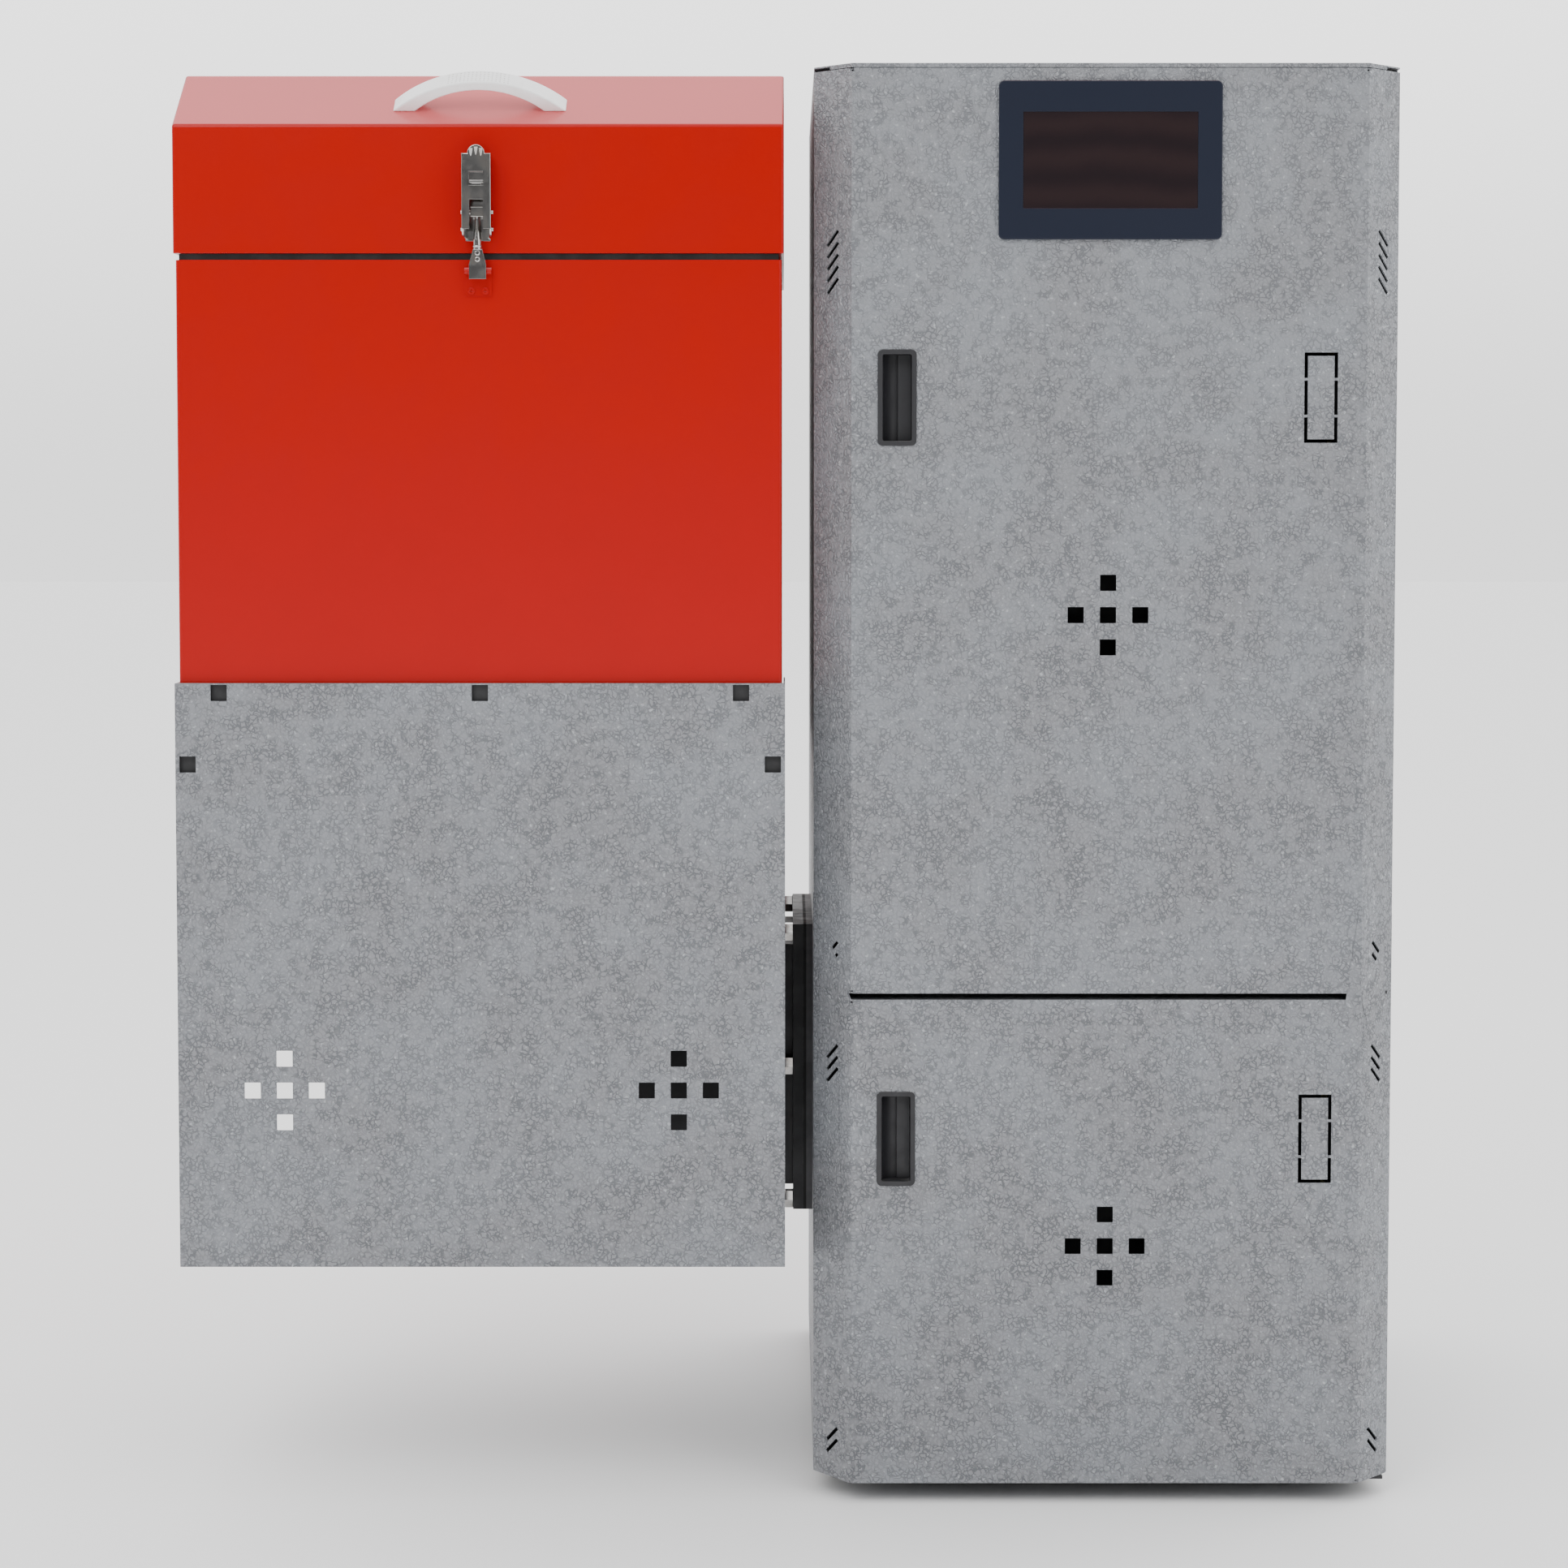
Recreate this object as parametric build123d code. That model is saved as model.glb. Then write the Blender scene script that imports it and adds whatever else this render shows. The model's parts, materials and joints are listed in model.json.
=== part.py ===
from build123d import *
import math
import os

# Automatic solid-fuel boiler with a side hopper and an auger feeder.
# Millimetres. Cutters pass a surface, and joined pieces sink in, by OVER.
# +X to the boiler's side, +Y to the back, +Z up.
# Origin: bottom centre of the whole object's box, on the floor.

# ---- overall sizes ----
SKIRT_WIDTH = 568.0
UNIT_GAP = 27.0
CASING_WIDTH = 546.0
CASING_DEPTH = 640.0
COLLAR_LENGTH = 60.0
SHEET = 1.5
FIT = 0.3
RUNNING = 0.06
OVER = 1.0

# ---- outer doors and casing ----
FOOT_HEIGHT = 20.0
LOWER_DOOR_HEIGHT = 458.5
DOOR_GAP = 6.0
UPPER_DOOR_HEIGHT = 858.5
TOP_GAP = 3.0
TOP_SEAM = 0.5
TOP_LIP_REACH = 20.0
CHAMFER = 34.5
DOOR_RETURN = 8.0
DOOR_HEM = 15.0
RELIEF_RADIUS = 2.2
FRAME_SETBACK = 54.0
FRAME_THICKNESS = 3.0
FRAME_SIDE = 58.0
FRAME_RAIL = 42.0
FRAME_SHIFT = 2.5
DOOR_AXIS_INSET = 12.0
DOOR_AXIS_LIFT = 0.5
DOOR_PIN_RADIUS = 4.0
DOOR_PIN_REACH = 10.0
BRACKET_PLATE = 3.0
BRACKET_HALF = 7.0
BRACKET_NOSE = 6.0
DOOR_REAR_GAP = 3.0
CHANNEL_BORDER = 70.0
CHANNEL_WALL = 4.0
FOOT_INSET = 40.0
FOOT_PAD_RADIUS = 25.0
FOOT_PAD_HEIGHT = 10.0
FOOT_STEM_RADIUS = 7.0
MAGNET_WIDTH = 12.0
MAGNET_HALF = 20.0
MAGNET_SIDE_GAP = 1.0
LOWER_MAGNET_INSET = 60.0
UPPER_MAGNET_INSET = 120.0
WOOL_GAP = 2.0
WOOL_FOOT_GAP = 5.0
WOOL_TOP_GAP = 4.0

# ---- openings cut in the door fronts ----
VENT_SQUARE = 15.0
VENT_PITCH = 30.0
UPPER_VENT_HEIGHT = 354.0
LOWER_VENT_HEIGHT = 225.75
PULL_WIDTH = 36.0
PULL_HEIGHT = 89.0
PULL_CORNER = 5.0
PULL_LIP = 2.5
PULL_WALL = 2.0
PULL_DEPTH = 18.0
PULL_INSET = 76.75
UPPER_PULL_HEIGHT = 555.5
LOWER_PULL_HEIGHT = 327.5
KNOCKOUT_WIDTH = 31.0
KNOCKOUT_HEIGHT = 83.5
KNOCKOUT_CUT = 3.2
KNOCKOUT_TAB = 2.4
KNOCKOUT_TAB_RISE = 17.0
SLOT_LENGTH = 19.5
SLOT_WIDTH = 3.5
SLOT_PITCH = 11.0
UPPER_SLOTS_HIGH = 681.5
UPPER_SLOTS_LOW = 34.5
LOWER_SLOTS_DROP = 62.5
LOWER_SLOTS_LOW = 36.5

# ---- display ----
BEZEL_WIDTH = 206.0
BEZEL_HEIGHT = 145.5
BEZEL_DEPTH = 4.0
BEZEL_CORNER = 5.0
BEZEL_DROP = 12.0
SCREEN_WIDTH = 161.0
SCREEN_HEIGHT = 88.5
SCREEN_RECESS = 0.3
CONTROL_BOX_MARGIN = 10.0
CONTROL_BOX_DEPTH = 35.0

# ---- hopper, lid and skirt ----
SKIRT_SIDE = 3.0
HOPPER_DEPTH = 560.0
HOPPER_SETBACK = 8.0
HOPPER_BOTTOM = 699.0
HOPPER_TOP = 1167.5
RIM_FLANGE = 12.0
LID_GAP = 6.0
LID_OVERHANG = 2.0
LID_FRONT_HEIGHT = 118.0
LID_SLOPE_DEPTH = 75.0
LID_SLOPE_RISE = 54.5
SKIRT_BOTTOM = 226.0
SKIRT_HEIGHT = 549.0
SKIRT_LEFT_RETURN = 350.0
SKIRT_RIGHT_RETURN = 100.0
SKIRT_FLANGE = 6.0
SKIRT_VENT_INSET = 99.5
SKIRT_VENT_HEIGHT = 167.0
HANG_HOLE_INSET = 41.0
HANG_HOLE_DROP = 9.0
SIDE_HOLE_INSET = 11.4
SIDE_HOLE_DROP = 75.75
HANGER_LENGTH = 26.0
HANGER_HALF = 9.5
HANGER_PLATE = 2.0
HANGER_GAP = 2.0
THROAT_WIDTH = 150.0
THROAT_DEPTH = 100.0
THROAT_LIFT = 5.0
FUNNEL_SHEET = 2.0
SEAL_INSET = 3.0
SEAL_WIDTH = 8.0

# ---- lid handle ----
HANDLE_SPAN = 162.0
HANDLE_RISE = 31.0
HANDLE_THICKNESS = 9.0
HANDLE_WIDTH = 22.0
HANDLE_FOOT = 21.0
HANDLE_PLACE = 0.38

# ---- toggle latch ----
LATCH_STAND = 20.0
LEVER_WIDTH = 27.0
LEVER_SHEET = 1.5
LEVER_PIVOT_RISE = 21.0
LEVER_REACH = 77.0
LEVER_TIP_RADIUS = 8.0
PIVOT_STAND = 9.0
LEVER_BACK = 4.0
LEVER_FOOT_RADIUS = 6.75
ROD_PIVOT_RISE = 15.75
ROD_PIVOT_OFFSET = 1.0
LATCH_PIN_RADIUS = 2.0
LATCH_PIN_HALF = 15.0
EAR_GAP = 0.5
EAR_HALF_DEPTH = 4.5
EAR_DROP = 8.0
BASE_DROP = 10.0
BASE_RISE = 45.0
LEVER_SLOT_WIDTH = 12.75
LEVER_SLOT_TOP = 27.0
WINDOW_WIDTH = 13.0
WINDOW_HEIGHT = 12.75
WINDOW_RISE = 46.0
ROD_RADIUS = 1.9
ROD_LENGTH = 25.0
FERRULE_RADIUS = 4.0
FERRULE_LENGTH = 9.0
SPADE_LENGTH = 27.0
SPADE_TOP_WIDTH = 8.25
SPADE_WIDTH = 15.75
SPADE_THICKNESS = 1.5
SPADE_STAND = 7.0
KEEPER_WIDTH = 25.0
KEEPER_ROLL_RADIUS = 3.4
KEEPER_ROLL_BITE = 0.4
KEEPER_DROP = 11.0
KEEPER_PLATE_HEIGHT = 26.0
SCREW_SPREAD = 6.4
SCREW_HEAD_RADIUS = 3.2
SCREW_SHANK_RADIUS = 1.9
SCREW_HOLE_GAP = 0.1
SCREW_HEAD_HEIGHT = 1.8
SCREW_REACH = 6.0
CROSS_REACH = 1.8
CROSS_WIDTH = 0.9
CROSS_DEPTH = 1.0
KEEPER_SCREW_RISE = 4.5

# ---- lid hinges ----
LID_AXIS_BEHIND = 10.0
LID_HINGE_SPREAD = 180.0
LID_KNUCKLE_RADIUS = 6.0
LID_PIN_RADIUS = 3.0
LID_KNUCKLE_HALF = 11.5
LID_HINGE_HALF = 30.0
LID_LEAF = 3.0
LID_LEAF_HEIGHT = 46.0
LID_KNUCKLE_GAP = 0.5
LID_ARM_HALF = 2.0
LID_ARM_DROP = 2.0
LID_ARM_THICKNESS = 3.0
LEAF_LIFT = 4.0

# ---- water jacket and its fittings ----
JACKET_SIDE = 53.0
JACKET_REAR_GAP = 51.0
JACKET_FRONT = 109.0
FRAME_BASE_HEIGHT = 50.0
JACKET_HEADROOM = 56.0
WATER_GAP = 36.0
INNER_WALL = 5.0
OUTER_WALL = 4.0
FRONT_WALL = 8.0
CHAMBER_FLOOR = 5.0
NECK_SIZE = 190.0
NECK_WALL = 5.0
NECK_FLANGE = 6.0
NECK_CLEAR = 2.0
COLLAR_RADIUS = 80.0
COLLAR_WALL = 4.0
COLLAR_DROP = 160.0
COLLAR_FLANGE_RADIUS = 97.0
PIPE_RADIUS = 21.0
PIPE_BORE = 17.0
PIPE_SPREAD = 150.0
PIPE_REACH = 50.0
PIPE_HOLE_GAP = 2.0
SLEEVE_GAP = 1.0
SUPPLY_DROP = 65.0
RETURN_RISE = 65.0
DRAIN_RADIUS = 9.0
DRAIN_WALL = 3.0
DRAIN_REACH = 45.0
DRAIN_MOUTH = 15.0
DRAIN_BODY_START = 8.0
DRAIN_BODY_LENGTH = 18.0
DRAIN_BODY_GROWTH = 4.0
TAP_STEM_RADIUS = 4.0
TAP_STEM_HEIGHT = 24.0
TAP_KEY_HALF = 14.0
TAP_KEY_THICKNESS = 4.0
TAP_KEY_LOW = 20.0
TAP_KEY_HEIGHT = 12.0

# ---- inner doors ----
INNER_DOOR_THICKNESS = 22.0
INNER_DOOR_MARGIN = 183.0
ROPE_STAND = 3.0
ROPE_WIDTH = 12.0
ROPE_GROOVE = 4.0
ROPE_GAP = 2.0
INNER_AXIS_DEPTH = 94.0
INNER_AXIS_INSET = 80.5
INNER_PIN_RADIUS = 5.0
INNER_KNUCKLE_RADIUS = 9.0
INNER_EDGE_CLEAR = 12.0
LUG_THICKNESS = 8.0
LUG_HALF = 6.0
LUG_GAP = 0.5
KNUCKLE_HEIGHT = 34.0
KNUCKLE_ARM_HALF = 4.0
HINGE_SHARES = (0.15, 0.85)
CLEANING_DOOR_BOTTOM = 700.0
CLEANING_DOOR_DROP = 40.0
FURNACE_DOOR_BOTTOM = 84.0
FURNACE_DOOR_DROP = 28.5
HATCH_MARGIN = 22.0
GRIP_LENGTH = 110.0
GRIP_INSET = 32.0
GRIP_SHAFT_RADIUS = 6.0
GRIP_BOSS_RADIUS = 13.0
GRIP_FRONT = 60.0
GRIP_ARM_HALF = 7.0
GRIP_ARM_DEPTH = 8.0
GRIP_RADIUS = 9.0

# ---- feeder and burner ----
FEEDER_HEIGHT = 385.0
FEEDER_DEPTH = 290.0
TUBE_RADIUS = 60.0
TUBE_WALL = 5.0
TUBE_LEFT_RUN = 68.0
FLANGE_WIDTH = 240.0
FLANGE_HEIGHT = 284.0
FLANGE_PLATE = 10.0
GASKET = 3.0
AIR_BOX_LENGTH = 155.0
AIR_BOX_DEPTH = 210.0
AIR_BOX_HEIGHT = 240.0
BOX_WALL = 3.0
STUD_RADIUS = 5.0
STUD_REACH = 16.0
NUT_ACROSS = 17.0
NUT_HEIGHT = 8.0
STUD_MARGIN = 9.0
NUT_POCKET_GAP = 3.0
AUGER_RADIUS = 50.0
AUGER_SHAFT_RADIUS = 14.0
AUGER_FLIGHT = 7.0
AUGER_PITCH = 80.0
AUGER_SHAFT_IN_GEARBOX = 40.0
AUGER_END_GAP = 2.0
FLIGHT_ROOT = 2.0
GEARBOX_ROUNDING = 10.0
GEARBOX_LENGTH = 68.0
GEARBOX_DEPTH = 110.0
GEARBOX_HEIGHT = 140.0
MOTOR_RADIUS = 38.0
MOTOR_TUBE_GAP = 2.0
MOTOR_LENGTH = 150.0
MOTOR_RIBS = 9
RIB_PITCH = 14.0
RIB_WIDTH = 5.0
RIB_HEIGHT = 6.0
RIB_START = 12.0
FAN_OFFSET = 100.0
FAN_RADIUS = 80.0
FAN_DEPTH = 60.0
FAN_DUCT_RADIUS = 38.0
IMPELLER_RADIUS = 66.0
IMPELLER_DEPTH = 38.0
IMPELLER_BLADES = 12
IMPELLER_GAP = 6.0
IMPELLER_DISC = 3.0
IMPELLER_HUB_RADIUS = 9.0
BLADE_HALF = 1.0
BLADE_LENGTH = 25.0
FAN_SHAFT_REACH = 25.0
FAN_SOCKET_DEPTH = 30.0
FAN_SHAFT_RADIUS = 4.0
FAN_MOTOR_RADIUS = 30.0
FAN_MOTOR_LENGTH = 55.0
SPIDER_DEPTH = 7.0
SPIDER_START = 12.0
SPIDER_HALF = 6.0
SPIDER_RIM = 6.0
RETORT_RADIUS = 85.0
RETORT_WALL = 15.0
RETORT_DROP = 75.0
RETORT_RISE = 100.0
PORT_DEPTH = 55.0
PORT_RADIUS = 72.0
PORT_LENGTH = 22.0
RING_HEIGHT = 15.0
RING_RADIUS = 110.0
RING_NOZZLES = 12
NOZZLE_RADIUS = 3.5
DEFLECTOR_RADIUS = 95.0
DEFLECTOR_LIFT = 100.0
DEFLECTOR_THICKNESS = 14.0
DEFLECTOR_LEG_RADIUS = 6.0
DEFLECTOR_LEG_INSET = 10.0
DRAWER_SIDE = 111.0
DRAWER_FRONT_GAP = 8.0
DRAWER_REAR_GAP = 39.0
DRAWER_HEIGHT = 120.0
DRAWER_SHEET = 2.0
BAFFLE_THICKNESS = 6.0
BAFFLE_PASSAGE = 80.0
BAFFLE_DROPS = (485.0, 365.0, 245.0)

# ---- places worked out from the sizes ----
latch_proud = LATCH_STAND - HOPPER_SETBACK + LID_OVERHANG
total_width = SKIRT_WIDTH + UNIT_GAP + CASING_WIDTH
total_depth = latch_proud + CASING_DEPTH + COLLAR_LENGTH
casing_right = total_width / 2
casing_left = casing_right - CASING_WIDTH
casing_mid = casing_right - CASING_WIDTH / 2
skirt_left = -total_width / 2
skirt_right = skirt_left + SKIRT_WIDTH
hopper_mid = (skirt_left + skirt_right) / 2
door_front = latch_proud - total_depth / 2
casing_rear = door_front + CASING_DEPTH
door_back = door_front + CHAMFER + DOOR_RETURN
frame_front = door_front + FRAME_SETBACK
frame_back = frame_front + FRAME_THICKNESS
lower_bottom = FOOT_HEIGHT
lower_top = lower_bottom + LOWER_DOOR_HEIGHT
upper_bottom = lower_top + DOOR_GAP
upper_top = upper_bottom + UPPER_DOOR_HEIGHT
panel_top = upper_top + TOP_GAP
hopper_front = door_front + HOPPER_SETBACK
hopper_rear = hopper_front + HOPPER_DEPTH
hopper_half = SKIRT_WIDTH / 2 - SKIRT_SIDE
lid_front = hopper_front - LID_OVERHANG
lid_rear = hopper_rear + LID_OVERHANG
lid_bottom = HOPPER_TOP + LID_GAP
lid_crease = lid_bottom + LID_FRONT_HEIGHT
lid_top = lid_crease + LID_SLOPE_RISE
skirt_top = SKIRT_BOTTOM + SKIRT_HEIGHT
door_axis = (casing_right - DOOR_AXIS_INSET, door_front + CHAMFER - DOOR_AXIS_LIFT)
inner_axis = (casing_right - INNER_AXIS_INSET, door_front + INNER_AXIS_DEPTH)
lid_axis = (hopper_rear + LID_AXIS_BEHIND, HOPPER_TOP + LID_GAP / 2)
jacket_left = casing_left + JACKET_SIDE
jacket_right = casing_right - JACKET_SIDE
jacket_front = door_front + JACKET_FRONT
jacket_rear = casing_rear - JACKET_REAR_GAP
jacket_bottom = FOOT_HEIGHT + FRAME_BASE_HEIGHT
jacket_top = panel_top - JACKET_HEADROOM
collar_z = jacket_top - COLLAR_DROP
supply_z = jacket_top - SUPPLY_DROP
return_z = jacket_bottom + RETURN_RISE
jacket_skin = OUTER_WALL + WATER_GAP + INNER_WALL
chamber_left = jacket_left + jacket_skin
chamber_right = jacket_right - jacket_skin
chamber_front = jacket_front + FRONT_WALL
chamber_rear = jacket_rear - jacket_skin
chamber_bottom = jacket_bottom + CHAMBER_FLOOR
chamber_top = jacket_top - jacket_skin
feeder_y = door_front + FEEDER_DEPTH
neck_face = casing_left - NECK_FLANGE
gasket_face = neck_face - GASKET
flange_face = gasket_face - FLANGE_PLATE
throat_left = hopper_mid - THROAT_WIDTH / 2
tube_left = throat_left - TUBE_LEFT_RUN / 2
retort_left = casing_mid - RETORT_RADIUS
tube_right = retort_left + RETORT_WALL
inner_door_right = inner_axis[0] - INNER_EDGE_CLEAR
inner_door_left = inner_door_right - CASING_WIDTH + INNER_DOOR_MARGIN
inner_door_back = jacket_front - FIT - ROPE_STAND
inner_door_front = inner_door_back - INNER_DOOR_THICKNESS
cleaning_height = jacket_top - CLEANING_DOOR_DROP - CLEANING_DOOR_BOTTOM
furnace_height = lower_top - FURNACE_DOOR_DROP - FURNACE_DOOR_BOTTOM
throat_top = FEEDER_HEIGHT + AIR_BOX_HEIGHT / 2 + THROAT_LIFT
retort_bottom = FEEDER_HEIGHT - RETORT_DROP
retort_top = FEEDER_HEIGHT + RETORT_RISE
ring_top = retort_top + RING_HEIGHT
drawer_half = CASING_WIDTH / 2 - DRAWER_SIDE
drawer_front = chamber_front + DRAWER_FRONT_GAP
drawer_rear = chamber_rear - DRAWER_REAR_GAP
bezel_z = upper_top - BEZEL_DROP - BEZEL_HEIGHT / 2
keeper_top = HOPPER_TOP - KEEPER_DROP + KEEPER_ROLL_RADIUS
keeper_screw_z = keeper_top - KEEPER_PLATE_HEIGHT + KEEPER_SCREW_RISE
lid_slope = math.atan2(LID_SLOPE_RISE, LID_SLOPE_DEPTH)
latch_base_z = lid_bottom + LEVER_PIVOT_RISE
latch_pivot = (lid_front - PIVOT_STAND, latch_base_z)
rod_pivot = (latch_pivot[0] - ROD_PIVOT_OFFSET, latch_base_z + ROD_PIVOT_RISE)
air_box_left = flange_face - AIR_BOX_LENGTH
air_box_rear = feeder_y + AIR_BOX_DEPTH / 2
fan_x = flange_face - FAN_OFFSET


def block(low, high):
    """Box between two opposite corners."""
    size = [high[i] - low[i] for i in range(3)]
    middle = [(high[i] + low[i]) / 2 for i in range(3)]
    return Pos(*middle) * Box(*size)


def rod_x(start, end, y, z, radius):
    """Round bar along X from start to end."""
    return Pos((start + end) / 2, y, z) * Rot(0, 90, 0) * Cylinder(radius, abs(end - start))


def rod_y(start, end, x, z, radius):
    """Round bar along Y from start to end."""
    return Pos(x, (start + end) / 2, z) * Rot(90, 0, 0) * Cylinder(radius, abs(end - start))


def rod_z(start, end, x, y, radius):
    """Round bar along Z from start to end."""
    return Pos(x, y, (start + end) / 2) * Cylinder(radius, abs(end - start))


def tube_wall(low, high, wall):
    """Rectangular pipe along Z with walls of one thickness."""
    inner_low = (low[0] + wall, low[1] + wall, low[2])
    inner_high = (high[0] - wall, high[1] - wall, high[2])
    return block(low, high) - block(inner_low, inner_high)


def group(pieces):
    """Separate solids kept in one node."""
    return Compound(children=[piece for piece in pieces])


def front_plate(x, z, width, height, corner, near, far):
    """Plate with round corners, facing the front, between two depths."""
    sketch = Plane((x, far, z), x_dir=(1, 0, 0), z_dir=(0, -1, 0)) * RectangleRounded(width, height, corner)
    return extrude(sketch, far - near)


# ---- outer doors ----
def door_outline(inset, back):
    """Plan outline of a door front with its two chamfers."""
    turn = inset * math.tan(math.radians(22.5))
    left = casing_left + inset
    right = casing_right - inset
    front = door_front + inset
    shoulder = door_front + CHAMFER + turn
    step = CHAMFER + turn
    points = [(left, back), (left, shoulder), (casing_left + step, front)]
    points += [(casing_right - step, front), (right, shoulder), (right, back)]
    return make_face(Polyline(*points, close=True))


def plus_vent(x, z):
    """Five square cutters set as a plus."""
    half = VENT_SQUARE / 2
    cutters = Part()
    for column, row in ((0, 0), (1, 0), (-1, 0), (0, 1), (0, -1)):
        low = (x + column * VENT_PITCH - half, door_front - SHEET, z + row * VENT_PITCH - half)
        high = (low[0] + VENT_SQUARE, door_front + 3 * SHEET, low[2] + VENT_SQUARE)
        cutters += block(low, high)
    return cutters


def knockout(x, z):
    """Cut outline of the spare pull opening, left on four small tabs."""
    near = door_front - SHEET
    far = door_front + 3 * SHEET
    half_width = KNOCKOUT_WIDTH / 2
    half_height = KNOCKOUT_HEIGHT / 2
    outer = block((x - half_width, near, z - half_height), (x + half_width, far, z + half_height))
    inner_width = half_width - KNOCKOUT_CUT
    inner_height = half_height - KNOCKOUT_CUT
    outer -= block((x - inner_width, near, z - inner_height), (x + inner_width, far, z + inner_height))
    for rise in (-KNOCKOUT_TAB_RISE, KNOCKOUT_TAB_RISE):
        low = z + rise - KNOCKOUT_TAB / 2
        outer -= block((x - half_width, near, low), (x + half_width, far, low + KNOCKOUT_TAB))
    return outer


def chamfer_slots(z, count):
    """Slanted slots on both chamfers, mirrored about the door's middle."""
    cutters = Part()
    for side in (-1, 1):
        edge = casing_left if side < 0 else casing_right
        middle = (edge - side * CHAMFER / 2, door_front + CHAMFER / 2, z)
        face = Plane(middle, x_dir=(1, side, 0), z_dir=(side, -1, 0))
        for index in range(count):
            rise = (index - (count - 1) / 2) * SLOT_PITCH
            slot = Rot(0, 0, -side * 45) * Box(SLOT_LENGTH, SLOT_WIDTH, 4 * SHEET)
            cutters += face * Pos(0, rise, 0) * slot
    return cutters


def door_skin(bottom, top, pull_z, vent_z, slot_groups):
    """Folded sheet front with returns all round, open at the back."""
    skin = Pos(0, 0, bottom) * extrude(door_outline(0, door_back), top - bottom)
    hollow = extrude(door_outline(SHEET, door_back + SHEET), top - bottom - 2 * SHEET)
    skin -= Pos(0, 0, bottom + SHEET) * hollow
    hem_low = (casing_left, door_back - SHEET, bottom)
    skin += block(hem_low, (casing_left + DOOR_HEM, door_back, top))
    skin -= plus_vent(casing_mid, vent_z)
    skin -= knockout(casing_right - PULL_INSET, pull_z)
    for slot_z, count in slot_groups:
        skin -= chamfer_slots(slot_z, count)
    half_width = PULL_WIDTH / 2 - PULL_LIP + FIT
    half_height = PULL_HEIGHT / 2 - PULL_LIP + FIT
    pull_x = casing_left + PULL_INSET
    low = (pull_x - half_width, door_front - SHEET, pull_z - half_height)
    skin -= block(low, (pull_x + half_width, door_front + 2 * SHEET, pull_z + half_height))
    for crease in (casing_left + CHAMFER, casing_right - CHAMFER):
        for start in (bottom, top - 2 * SHEET):
            skin -= rod_z(start, start + 2 * SHEET, crease, door_front, RELIEF_RADIUS)
    skin -= rod_z(bottom, top, *door_axis, DOOR_PIN_RADIUS + RUNNING)
    return skin


def upper_door_skin():
    """Tall upper door with the display cut-out."""
    pull_z = upper_bottom + UPPER_PULL_HEIGHT
    groups = ((upper_bottom + UPPER_SLOTS_HIGH, 5), (upper_bottom + UPPER_SLOTS_LOW, 2))
    skin = door_skin(upper_bottom, upper_top, pull_z, upper_bottom + UPPER_VENT_HEIGHT, groups)
    half_width = BEZEL_WIDTH / 2 - CONTROL_BOX_MARGIN + FIT
    half_height = BEZEL_HEIGHT / 2 - CONTROL_BOX_MARGIN + FIT
    low = (casing_mid - half_width, door_front - SHEET, bezel_z - half_height)
    return skin - block(low, (casing_mid + half_width, door_front + 2 * SHEET, bezel_z + half_height))


def lower_door_skin():
    """Short lower door."""
    pull_z = lower_bottom + LOWER_PULL_HEIGHT
    groups = ((lower_top - LOWER_SLOTS_DROP, 3), (lower_bottom + LOWER_SLOTS_LOW, 2))
    return door_skin(lower_bottom, lower_top, pull_z, lower_bottom + LOWER_VENT_HEIGHT, groups)


def pull_cup(z):
    """Recessed finger pull: a thin rim and a cup behind it."""
    x = casing_left + PULL_INSET
    cup_width = PULL_WIDTH - 2 * PULL_LIP
    cup_height = PULL_HEIGHT - 2 * PULL_LIP
    cup = front_plate(x, z, PULL_WIDTH, PULL_HEIGHT, PULL_CORNER, door_front - SHEET, door_front)
    cup_back = door_front + PULL_DEPTH + PULL_WALL
    cup += front_plate(x, z, cup_width, cup_height, PULL_LIP, door_front, cup_back)
    inner_width = cup_width - 2 * PULL_WALL
    inner_height = cup_height - 2 * PULL_WALL
    cut_near = door_front - 2 * SHEET
    return cup - front_plate(x, z, inner_width, inner_height, PULL_WALL, cut_near, door_front + PULL_DEPTH)


def display_bezel():
    """Flat frame that stands proud of the upper door."""
    near = door_front - BEZEL_DEPTH
    frame = front_plate(casing_mid, bezel_z, BEZEL_WIDTH, BEZEL_HEIGHT, BEZEL_CORNER, near, door_front)
    half_width = SCREEN_WIDTH / 2
    half_height = SCREEN_HEIGHT / 2
    low = (casing_mid - half_width, near - OVER, bezel_z - half_height)
    frame -= block(low, (casing_mid + half_width, door_front + OVER, bezel_z + half_height))
    edge = frame.faces().sort_by(Axis.Y)[0].outer_wire().edges()
    return chamfer(edge, SCREEN_RECESS * 2)


def display_screen():
    """Glass of the touch screen, seated in the bezel."""
    half_width = SCREEN_WIDTH / 2 - FIT / 3
    half_height = SCREEN_HEIGHT / 2 - FIT / 3
    low = (casing_mid - half_width, door_front - BEZEL_DEPTH + SCREEN_RECESS, bezel_z - half_height)
    return block(low, (casing_mid + half_width, door_front, bezel_z + half_height))


def control_box():
    """Housing of the controller behind the display."""
    half_width = BEZEL_WIDTH / 2 - CONTROL_BOX_MARGIN
    half_height = BEZEL_HEIGHT / 2 - CONTROL_BOX_MARGIN
    low = (casing_mid - half_width, door_front, bezel_z - half_height)
    return block(low, (casing_mid + half_width, door_front + CONTROL_BOX_DEPTH, bezel_z + half_height))


# ---- casing and frame ----
def casing_side(outer, inward):
    """Side panel with a front flange; inward is +1 or -1 along X."""
    front = door_back + DOOR_REAR_GAP
    inner = outer + inward * SHEET
    low_x, high_x = sorted((outer, inner))
    panel = block((low_x, front, FOOT_HEIGHT), (high_x, casing_rear, panel_top))
    low_x, high_x = sorted((inner, inner + inward * DOOR_HEM))
    return panel + block((low_x, frame_back, FOOT_HEIGHT), (high_x, frame_back + SHEET, panel_top))


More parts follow.
